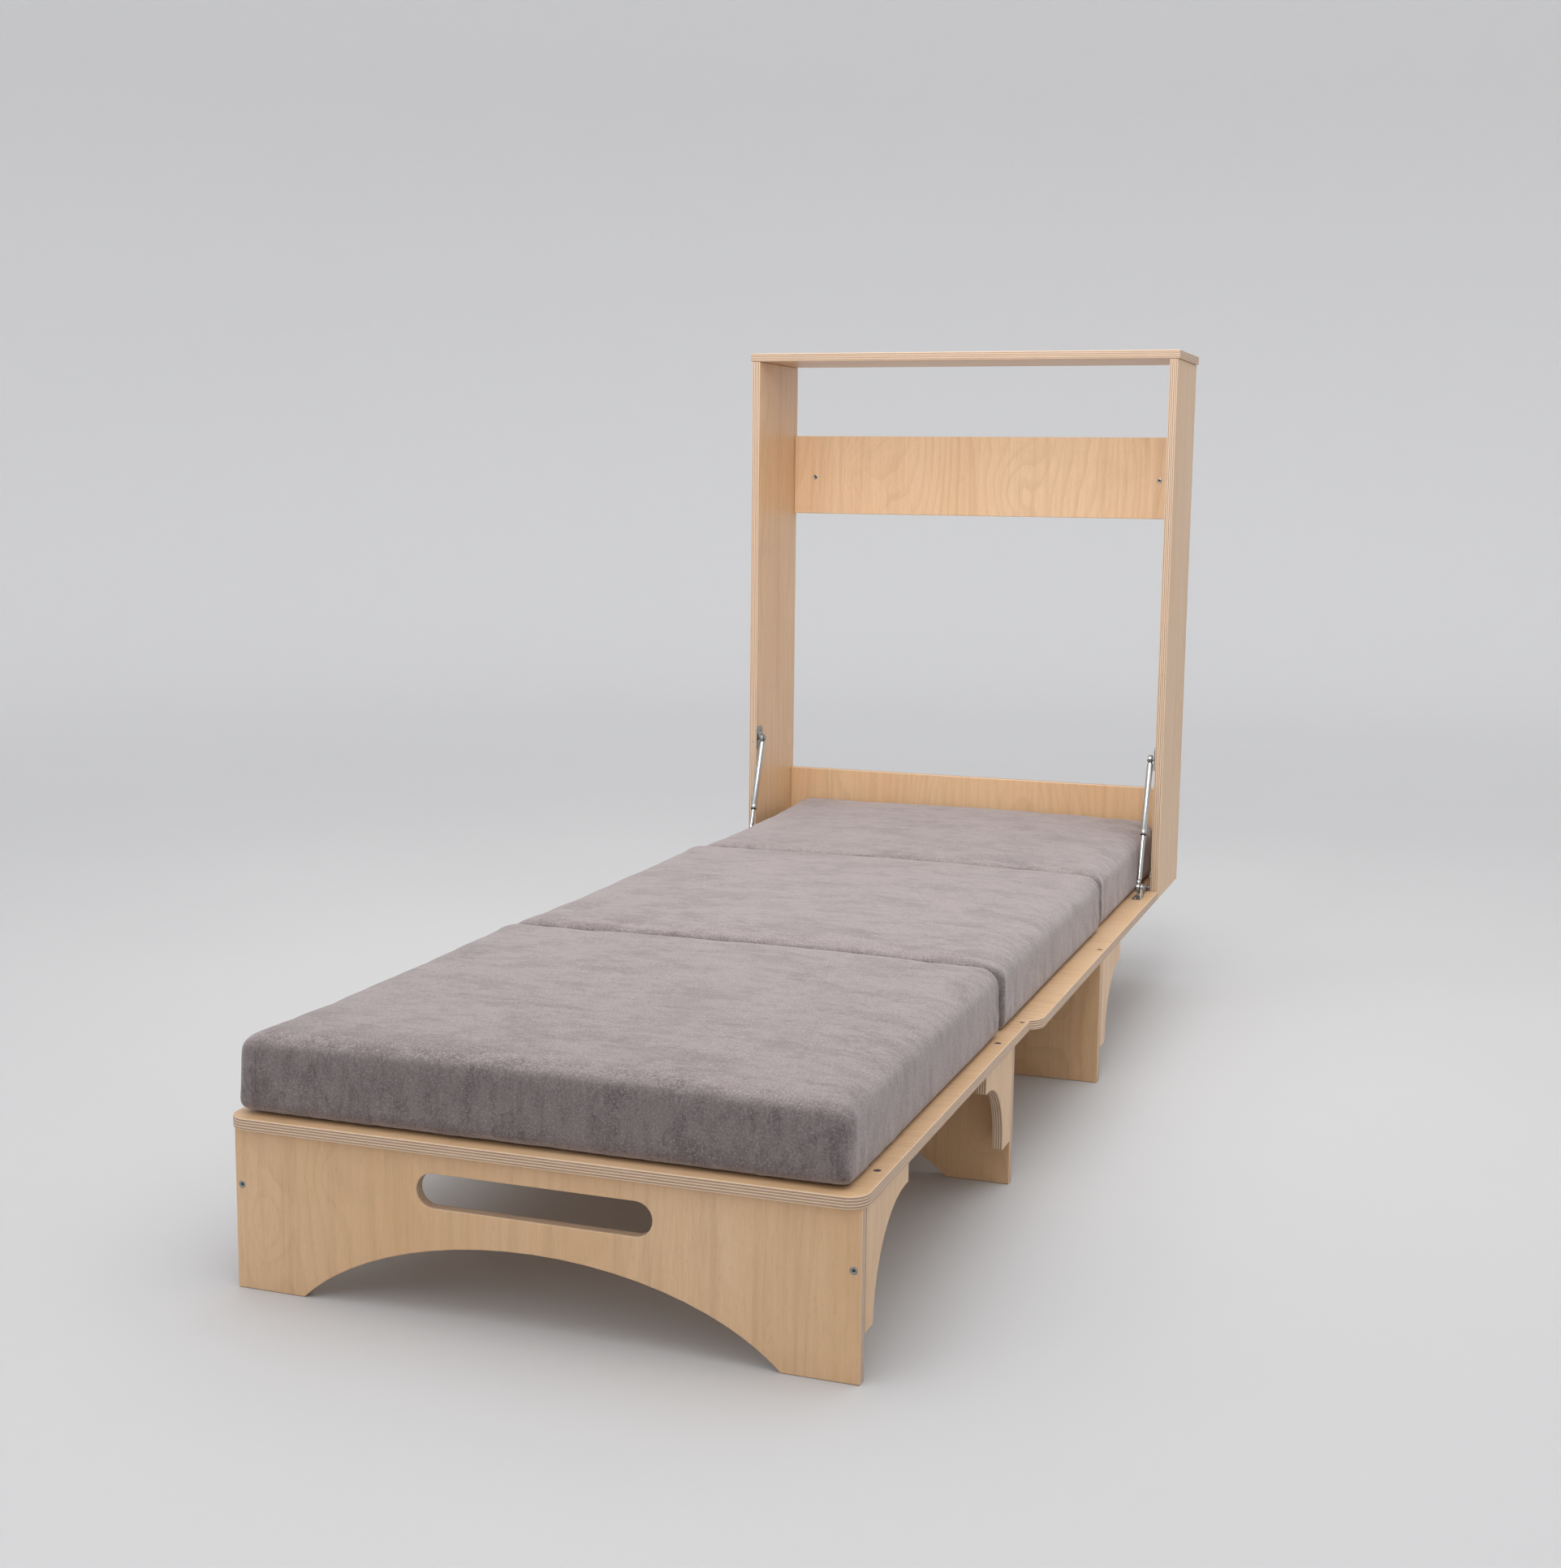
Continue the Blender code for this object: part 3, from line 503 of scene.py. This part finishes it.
def dress_strut(side, satin, chrome, zinc, black):
    """Cylinder with its wiper ring and upper eye, and the rod with its lower eye."""
    top, down = strut_frame(side)
    along = basis(top, down)

    start, end = span(f"strut_tube_{side}", top, down)
    radius = tube_radius(f"strut_tube_{side}", top, down)
    profile = [(radius * 0.80, start), (radius * 0.94, start), (radius, start + 0.0008),
               (radius, end - 0.0075), (radius * 0.955, end - 0.0068),
               (radius * 0.955, end - 0.0060),
               (radius, end - 0.0053), (radius, end - 0.0007), (radius * 0.95, end),
               (radius * 0.80, end)]
    add_piece(f"look_strut_tube_{side}", lathe(profile, along, 64), satin, f"strut_{side}",
              (f"strut_tube_{side}",))

    ring_start, ring_end = span(f"strut_seal_{side}", top, down)
    profile = [(radius * 0.83, ring_start), (radius * 0.985, ring_start + 0.0003),
               (radius * 0.985, ring_end - 0.0012), (radius * 0.86, ring_end),
               (radius * 0.83, ring_end)]
    add_piece(f"look_strut_seal_{side}", lathe(profile, along, 48), black, f"strut_{side}",
              (f"strut_seal_{side}",))

    head = bmesh.new()
    neck_end = start + NECK_IN_TUBE
    eye(head, top, EYE_RADIUS, EYE_WIDTH, EYE_BORE)
    lathe([(UPPER_NECK, NECK_OUT), (UPPER_NECK, neck_end)], along, 32, head)
    lathe([(0.0043, neck_end - 0.0022, 6), (0.0046, neck_end - 0.0019, 6),
           (0.0046, neck_end - 0.0002, 6), (0.0043, neck_end, 6)], along, 36, head)
    add_piece(f"look_strut_head_{side}", head, zinc, f"strut_{side}",
              (f"strut_head_{side}",))

    rod_start, rod_end = span(f"strut_rod_{side}", top, down)
    rod_radius = tube_radius(f"strut_rod_{side}", top, down)
    profile = [(rod_radius * 0.9, rod_start), (rod_radius, rod_start + 0.0005),
               (rod_radius, rod_end - 0.0006), (rod_radius * 0.88, rod_end)]
    add_piece(f"look_strut_rod_{side}", lathe(profile, along, 64), chrome, f"rod_{side}",
              (f"strut_rod_{side}",))

    foot = top + down * span(f"rod_end_{side}", top, down)[1] - down * EYE_RADIUS
    lower = bmesh.new()
    eye(lower, foot, EYE_RADIUS, EYE_WIDTH, EYE_BORE)
    up = basis(foot, -down)
    lathe([(LOWER_NECK, NECK_OUT), (LOWER_NECK, 0.0136)], up, 32, lower)
    lathe([(0.0040, 0.0088, 6), (0.0044, 0.0092, 6), (0.0044, 0.0128, 6), (0.0040, 0.0132, 6)],
          up, 36, lower)
    add_piece(f"look_rod_end_{side}", lower, zinc, f"rod_{side}",
              (f"rod_end_{side}",))


def tube_radius(name, origin, direction):
    """Outer radius of a CAD node round a line."""
    apart = read_points(NODES[name].data) - np.array(origin)
    axis = np.array(direction)
    radial = apart - np.outer(apart @ axis, axis)
    return float(np.linalg.norm(radial, axis=1).max())


def plate_in_yz(name, radius, bevel):
    """Rounded plate in the same box as a flat CAD plate that stands across X."""
    low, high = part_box(name)
    size = high - low
    middle = (low + high) / 2
    turn = Matrix.Translation(middle) @ Matrix.Rotation(math.radians(90), 4, "Y")
    return rounded_slab((size.z, size.y, size.x), turn, radius, bevel)


# wall plate: (distance of its screws from its middle along Z, and along Y)
WALL_PLATES = {"strut_bracket_upper": (0.0150, 0.0040), "hinge_plate": (0.0135, 0.0080)}
PLATE_CORNER, PLATE_BEVEL = 0.0045, 0.0003
FOOT_PLATE = 0.0016          # thickness of the lower bracket's base
FOOT_SCREW_X = 0.0045        # its screws, from the bracket's inner side
FOOT_SCREW_Y = 0.0135        # and from its middle


def dress_fittings(side, sign, zinc):
    """Plates screwed to the side panels and the deck, with their pins."""
    for plate, (reach, shift) in WALL_PLATES.items():
        name = f"{plate}_{side}"
        low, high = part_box(name)
        inner = low.x if sign > 0 else high.x
        builder = plate_in_yz(name, PLATE_CORNER, PLATE_BEVEL)
        middle = (low + high) / 2
        for rise in (-reach, reach):
            pan_screw(builder, (inner, middle.y + shift, middle.z + rise), (-sign, 0, 0))
        add_piece(f"look_{name}", builder, zinc, "wall_frame", (name,))

    low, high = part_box(f"strut_bracket_lower_{side}")
    y = (low.y + high.y) / 2
    base_x = low.x + FOOT_SCREW_X if sign > 0 else high.x - FOOT_SCREW_X
    builder = bmesh.new()
    for shift in (-FOOT_SCREW_Y, FOOT_SCREW_Y):
        pan_screw(builder, (base_x, y + shift, low.z + FOOT_PLATE), (0, 0, 1), 0.0032, 0.0015)
    add_piece(f"strut_foot_screws_{side}", builder, zinc, "platform")
    for name in (f"strut_bracket_lower_{side}", f"hinge_bracket_{side}", f"hinge_pin_{side}",
                 f"strut_pin_upper_{side}", f"strut_pin_lower_{side}"):
        NODES[name].data.materials.clear()
        NODES[name].data.materials.append(zinc)


EDGE_PIN_HEIGHTS = {"left": (0.455,), "right": (0.455, 0.620)}


def edge_pins(material):
    """Small filled pin holes in the front edges of the side panels."""
    for side, heights in EDGE_PIN_HEIGHTS.items():
        low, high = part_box(f"side_panel_{side}")
        builder = bmesh.new()
        for height in heights:
            matrix = basis(((low.x + high.x) / 2, low.y + 0.0003, height), (0, -1, 0))
            lathe([(0.0014, -0.002), (0.0014, 0.0002), (0.0009, 0.0004), (0.0007, 0.00015)],
                  matrix, 16, builder)
        add_piece(f"edge_pins_{side}", builder, material, "wall_frame")


def deck_plugs(material):
    """Small plugs in the bench's deck, close to its back edge."""
    low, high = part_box("bench_panel")
    for side, x in (("left", low.x + PLUG_INSET[0]), ("right", high.x - PLUG_INSET[0])):
        matrix = basis((x, high.y - PLUG_INSET[1], high.z), (0, 0, 1))
        profile = [(0.0032, -0.002), (0.0032, 0.0001), (0.0026, 0.0002), (0.0010, 0.0001)]
        builder = lathe(profile, matrix, 20)
        add_piece(f"deck_plug_{side}", builder, material, "bench")


# ---------------------------------------------------------------- mattress
CELL = 0.008                 # grid of the cover before it is subdivided
SWELL = 0.0035               # the cover starts this much inside its foam's box
CAP = 0.0060                 # most that the simulation may move a point
COVER_LOW = 0.0012           # the cover starts this much above the deck
OUTER_EDGE = 0.024           # rounding of ends that face out
SIDE_EDGE = (0.036, 0.028)   # rounding of the left and right side at the top
FLAT_EDGE = (0.014, 0.020)   # rounding of the bottom and of the top
FOOT_SHARE = 0.40            # share of the sides' rounding that is left at the bottom
CROWN_LIFT = 0.0015          # how far the top's middle rises
CROWN = (0.0065, 0.0100)     # how far the top falls towards its left and right edge
RISE = {"front": 0.0, "middle": 0.0, "rear": 0.0075}    # how far the top climbs to its back end
SEAM_EDGE = 0.009            # rounding of ends that press on something
NOTCH = (0.006, 0.015)       # how far a side edge draws back from a neighbour in front and behind
NOTCH_REACH = 0.016          # how far inwards that drawing back is felt along X
NOTCH_DEPTH = 0.040          # and along Y
CORNER_SEAM = 0.016          # a corner seam's distance from the side
SEAM_ENDS = (0.012, 0.014)   # its stitches stop this far from the bottom and the top
GROOVE, GROOVE_WIDTH, GROOVE_NEAR = 0.0011, 0.0022, 0.012    # a corner seam's groove
SEAM_LEAN = 0.0009           # how far a pressed end may pass the plane that it is pressed to


def rounded_box_grid(low, high, round_low, round_high):
    """Closed grid over a box whose edges are rounded by a radius for each of its six sides.

    The left and right sides' radii shrink towards the bottom.
    """
    bm = bmesh.new()
    size = high - low
    counts = [max(4, round(size[a] / CELL)) for a in range(3)]
    for axis in range(3):
        a, b = [i for i in range(3) if i != axis]
        for end in (low[axis], high[axis]):
            rows = []
            for i in range(counts[a] + 1):
                row = []
                for j in range(counts[b] + 1):
                    p = Vector((0, 0, 0))
                    p[axis] = end
                    p[a] = low[a] + size[a] * i / counts[a]
                    p[b] = low[b] + size[b] * j / counts[b]
                    row.append(bm.verts.new(p))
                rows.append(row)
            for i in range(counts[a]):
                for j in range(counts[b]):
                    bm.faces.new((rows[i][j], rows[i + 1][j], rows[i + 1][j + 1], rows[i][j + 1]))
    bmesh.ops.remove_doubles(bm, verts=bm.verts, dist=CELL * 0.01)
    for vert in bm.verts:
        away, unit = Vector((0, 0, 0)), Vector((0, 0, 0))
        height = (vert.co.z - low.z) / size.z
        side_share = FOOT_SHARE + (1 - FOOT_SHARE) * height
        for a in range(3):
            share = side_share if a == 0 else 1.0
            near, far = low[a] + round_low[a] * share, high[a] - round_high[a] * share
            inside = min(max(vert.co[a], near), far)
            away[a] = vert.co[a] - inside
            unit[a] = away[a] / (share * (round_low[a] if away[a] < 0 else round_high[a]))
            vert.co[a] = inside
        if unit.length > 0:
            flat = max(abs(c) for c in unit)
            vert.co += away * (flat / unit.length)
    return bm


CLOTH_FRAMES = 20
PIN_HEIGHT = 0.020           # the cover is held less and less up to this height


def simulate_cover(obj):
    """Blow the cover up from the inside and keep a capped share of the movement."""
    rest = read_points(obj.data)
    low = rest.min(0)
    pinned = obj.vertex_groups.new(name="rests")
    for vert in obj.data.vertices:
        lift = (vert.co.z - low[2]) / PIN_HEIGHT
        weight = 1.0 if lift < 0.05 else max(0.0, 0.5 - lift * 0.5)
        if weight > 0:
            pinned.add([vert.index], weight, "REPLACE")
    cloth = obj.modifiers.new("cloth", "CLOTH")
    settings = cloth.settings
    settings.quality = 5
    settings.mass = 0.35
    settings.tension_stiffness = 12
    settings.compression_stiffness = 12
    settings.shear_stiffness = 6
    settings.bending_stiffness = 0.6
    settings.use_pressure = True
    settings.uniform_pressure_force = 4.0
    settings.shrink_min = -0.020
    settings.vertex_group_mass = pinned.name
    settings.pin_stiffness = 1.0
    settings.effector_weights.gravity = 0.0
    cloth.collision_settings.use_collision = False
    cloth.collision_settings.use_self_collision = False
    scene = bpy.context.scene
    cloth.point_cache.frame_start = 1
    cloth.point_cache.frame_end = CLOTH_FRAMES
    for number in range(1, CLOTH_FRAMES + 1):
        scene.frame_set(number)
    evaluated = obj.evaluated_get(bpy.context.evaluated_depsgraph_get())
    moved = read_points(evaluated.data) - rest
    obj.modifiers.clear()
    obj.vertex_groups.clear()
    scene.frame_set(1)
    length = np.linalg.norm(moved, axis=1, keepdims=True)
    capped = rest + moved * (CAP / (CAP + length))
    obj.data.vertices.foreach_set("co", capped.ravel())
    obj.data.update()


def shape_cover(obj, name, low, high, seed, corner_seams, tucks, ends_free):
    """Soft unevenness, sewn grooves, tucks and a crown on the simulated cover, as vertex moves."""
    mesh = obj.data
    points = read_points(mesh)
    normals = np.array([v.vector[:] for v in mesh.vertex_normals])
    up = np.clip((points[:, 2] - low.z) / 0.03, 0, 1)
    wide = np.array([noise.noise(Vector((x * 5, y * 5, seed * 3.3))) for x, y, _ in points])
    small = np.array([noise.noise(Vector((x * 17, y * 17, z * 17 + seed))) for x, y, z in points])
    move = (wide * 0.0012 + small * 0.0006) * up
    for x, y in corner_seams:
        near = np.abs(points[:, 1] - y) < GROOVE_NEAR
        move -= GROOVE * np.exp(-((points[:, 0] - x) / GROOVE_WIDTH) ** 2) * up * near
    for spot, depth, reach in tucks:
        apart = np.linalg.norm(points - np.array(spot), axis=1)
        move -= depth * np.exp(-(apart / reach) ** 2)
    points += normals * move[:, None]
    across = (points[:, 0] - (low.x + high.x) / 2) / ((high.x - low.x) / 2)
    fall = np.where(across < 0, CROWN[0], CROWN[1]) * np.clip(np.abs(across), 0, 1) ** 2.4
    climb = RISE[name] * np.clip((points[:, 1] - low.y) / (high.y - low.y), 0, 1) ** 1.5
    height = np.clip((points[:, 2] - low.z) / (high.z - low.z), 0, 1)
    points[:, 2] += (climb + CROWN_LIFT - fall) * height
    # the sides round off towards each neighbour, so the meeting line opens into a notch
    side = np.minimum(points[:, 0] - points[:, 0].min(), points[:, 0].max() - points[:, 0])
    rounding = np.exp(-(side / NOTCH_REACH) ** 2)
    for end, free, inward, notch in zip((low.y, high.y), ends_free, (1, -1), NOTCH):
        if not free:
            near = np.clip(1 - np.abs(points[:, 1] - end) / NOTCH_DEPTH, 0, 1)
            points[:, 1] += inward * notch * rounding * near
    mesh.vertices.foreach_set("co", points.ravel())
    mesh.update()
    top = np.clip((np.abs(normals[:, 2]) - 0.35) / 0.5, 0, 1)
    ends = np.clip((np.abs(normals[:, 1]) - 0.45) / 0.4, 0, 1)
    # the second value is painted shade: 1 on the top, 0.84 on the sides and 0.64 on the ends
    for attribute, values in (("top", top), ("painted_side_shade", 1 - (1 - top) * (0.16 + 0.20 * ends))):
        mesh.attributes.new(attribute, "FLOAT", "POINT").data.foreach_set("value", values)


STITCH = 0.0045              # length of a stitch with its gap


def stitches(surface, points, name, material, body):
    """A run of short threads lying on the cover along a line of points."""
    dense = []
    for a, b in zip(points, points[1:]):
        steps = max(1, round((b - a).length / STITCH))
        dense += [a.lerp(b, i / steps) for i in range(steps)]
    builder = bmesh.new()
    for a, b in zip(dense, dense[1:]):
        ends = [surface.find_nearest(a.lerp(b, share))[:2] for share in (0.14, 0.86)]
        (p, n), (q, m) = ends
        if (q - p).length < 0.0008:
            continue
        middle = (p + q) / 2 + (n + m).normalized() * 0.00035
        matrix = basis(middle, q - p)
        half = (q - p).length / 2
        lathe([(0.00010, -half), (0.00030, -half * 0.75), (0.00036, 0.0), (0.00030, half * 0.75),
               (0.00010, half)], matrix, 8, builder)
    add_piece(name, builder, material, body, smooth=60)


def make_section(name, seed, body, reach, ends_free, fabric, sewing, tucks=()):
    """One section of the mattress.

    reach is how far the cover's left, right and back sides stand out from the CAD section.
    ends_free says of the front and the back end whether it is free or presses on something.
    """
    low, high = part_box(f"mattress_{name}")
    high.y += reach[2]
    edges = [OUTER_EDGE if free else SEAM_EDGE for free in ends_free]
    inset = [SWELL if free else 0.0 for free in ends_free]
    grid_low = low + Vector((SWELL - reach[0], inset[0], COVER_LOW))
    grid_high = high - Vector((SWELL - reach[1], inset[1], SWELL * 0.6))
    builder = rounded_box_grid(grid_low, grid_high,
                               Vector((SIDE_EDGE[0], edges[0], FLAT_EDGE[0])),
                               Vector((SIDE_EDGE[1], edges[1], FLAT_EDGE[1])))
    cover = add_piece(f"mattress_cover_{name}", builder, fabric, smooth=None)
    simulate_cover(cover)
    cover.modifiers.new("finer", "SUBSURF")
    cover.data = bpy.data.meshes.new_from_object(
        cover.evaluated_get(bpy.context.evaluated_depsgraph_get()))
    cover.modifiers.clear()
    cover.data.shade_smooth()
    seams = [(sign * (high.x - CORNER_SEAM), y) for sign in (-1, 1) for y in (low.y, high.y)]
    shape_cover(cover, name, low, high, seed, seams, tucks, ends_free)
    press_ends(cover.data, low.y, high.y, ends_free)
    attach(cover, body)
    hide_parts(f"mattress_{name}")
    surface = BVHTree.FromPolygons(read_points(cover.data).tolist(),
                                   [p.vertices[:] for p in cover.data.polygons])
    for index, (x, y) in enumerate(seams):
        line = [Vector((x, y, low.z + SEAM_ENDS[0])), Vector((x, y, high.z - SEAM_ENDS[1]))]
        stitches(surface, line, f"mattress_stitch_{name}_{index}", sewing, body)


def press_ends(mesh, front, back, ends_free):
    """Keep an end that meets a neighbour from passing it: the two press flat."""
    points = read_points(mesh)
    if not ends_free[0]:
        points[:, 1] = np.maximum(points[:, 1], front - SEAM_LEAN)
    if not ends_free[1]:
        points[:, 1] = np.minimum(points[:, 1], back + SEAM_LEAN)
    mesh.vertices.foreach_set("co", points.ravel())
    mesh.update()


def make_mattress():
    fabric, sewing = velour(), thread()
    low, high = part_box("mattress_front")
    tucks = [(Vector((high.x - 0.016, low.y + 0.004, high.z - 0.012)), 0.0045, 0.007),
             (Vector((low.x + 0.012, low.y + 0.006, low.z + 0.030)), 0.0060, 0.0050),
             (Vector((low.x + 0.018, low.y + 0.004, low.z + 0.024)), 0.0045, 0.0045),
             (Vector((low.x + 0.010, low.y + 0.004, high.z - 0.014)), 0.0015, 0.010)]
    make_section("front", 1, "bench", (0.0020, 0.0, 0.0), (True, False), fabric, sewing, tucks)
    make_section("middle", 2, "platform", (0.0030, 0.0, 0.0), (False, False), fabric, sewing)
    make_section("rear", 3, "platform", (0.0010, -0.0010, 0.0080), (False, False), fabric, sewing)


# ---------------------------------------------------------------- stage, light, camera
FLAT_RADIUS = 5.5            # floor that is level before it curves up as a backdrop
CURVE_RADIUS = 3.0
BACKDROP_HEIGHT = 7.0
FLOOR_DROP = 0.0002          # keeps the floor just under the boards that stand on it
FLOOR_DARK = (0.575, 0.572, 0.576)
FLOOR_PALE = (0.600, 0.597, 0.601)
BACKDROP = (0.722, 0.719, 0.724)
FADE_OUT = (2.5, 7.5)        # distance over which the floor's colour turns into the backdrop's


def make_stage():
    """Seamless bowl: level floor, curved foot and upright wall all round."""
    s = Shader("studio_floor", roughness=0.7)
    s.set("Specular IOR Level", 0.2)
    mottle = s.noise(s.scaled(s.coordinates.outputs["Object"], (1.3, 1.3, 1.3)), 3.0, 0.5)
    away = s.add("ShaderNodeVectorMath", operation="LENGTH")
    s.put(away.inputs[0], s.coordinates.outputs["Object"])
    ground = s.mix(mottle, FLOOR_DARK, FLOOR_PALE)
    s.set("Base Color", s.mix(s.ramp(away.outputs["Value"], *FADE_OUT), ground, BACKDROP))
    curve = [(FLAT_RADIUS + CURVE_RADIUS * math.sin(t), CURVE_RADIUS * (1 - math.cos(t)))
             for t in (math.radians(6 * i) for i in range(16))]
    profile = [(0.001, 0.0)] + curve + [(curve[-1][0], BACKDROP_HEIGHT)]
    profile = [(radius, height - FLOOR_DROP) for radius, height in profile]
    builder = lathe(profile, segments=96)
    builder.faces.ensure_lookup_table()
    bmesh.ops.delete(builder, geom=[builder.faces[-1]], context="FACES_ONLY")
    add_piece("studio_floor", builder, s.material)

    world = bpy.data.worlds.new("studio")
    world.use_nodes = True
    background = world.node_tree.nodes["Background"]
    background.inputs["Color"].default_value = (0.98, 0.99, 1.0, 1.0)
    background.inputs["Strength"].default_value = 1.15
    bpy.context.scene.world = world
    bpy.context.scene.view_settings.view_transform = "Standard"


def softbox(name, at, aim, width, height, power, spread=180):
    """Rectangular lamp of so many watts, aimed at a point; spread is in degrees."""
    light = bpy.data.lights.new(name, "AREA")
    light.shape = "RECTANGLE"
    light.size, light.size_y = width, height
    light.energy = power
    light.spread = math.radians(spread)
    obj = bpy.data.objects.new(name, light)
    obj.location = at
    obj.rotation_euler = (Vector(aim) - Vector(at)).to_track_quat("-Z", "Y").to_euler()
    obj.visible_camera = False
    bpy.context.scene.collection.objects.link(obj)


def make_lights():
    softbox("overhead", (0.2, -0.6, 3.2), (0.0, -0.5, 0.0), 2.8, 3.2, 31.0)
    softbox("front_fill", (-1.6, -4.2, 2.2), (0.0, -0.6, 0.2), 2.4, 2.0, 17.0)
    softbox("frame_fill", (0.3, -1.6, 2.2), (0.0, 1.0, 0.75), 1.4, 1.0, 7.0, 75)


SENSOR_MM = 36.0
LENS_MM = 47.80
CAMERA_AT = (1.0067, -3.0469, 0.9674)
PAN, TILT, ROLL = 0.3378, -0.1449, -0.0115     # radians


def make_camera():
    data = bpy.data.cameras.new("camera")
    data.sensor_width = SENSOR_MM
    data.sensor_fit = "AUTO"
    data.lens = LENS_MM
    camera = bpy.data.objects.new("camera", data)
    turn = (Matrix.Rotation(PAN, 4, "Z") @ Matrix.Rotation(TILT, 4, "X")
            @ Matrix.Rotation(ROLL, 4, "Y"))
    camera.matrix_world = (Matrix.Translation(CAMERA_AT) @ turn
                           @ Matrix.Rotation(math.radians(90), 4, "X"))
    bpy.context.scene.collection.objects.link(camera)
    bpy.context.scene.camera = camera


# ---------------------------------------------------------------- build
make_camera()
make_stage()
make_lights()
dress_boards()
satin = metal("satin_steel", (0.54, 0.54, 0.53), 0.30)
chrome = metal("polished_chrome", (0.56, 0.56, 0.56), 0.12, stain=0.02)
zinc = metal("zinc_plate", (0.34, 0.34, 0.33), 0.26)
dark_steel = metal("dark_steel", (0.20, 0.17, 0.15), 0.38)
black = rubber()
dress_screws(zinc, dark_steel, black)
for side, sign in SIDES:
    dress_strut(side, satin, chrome, zinc, black)
    dress_fittings(side, sign, zinc)
edge_pins(black)
deck_plugs(dark_steel)
make_mattress()
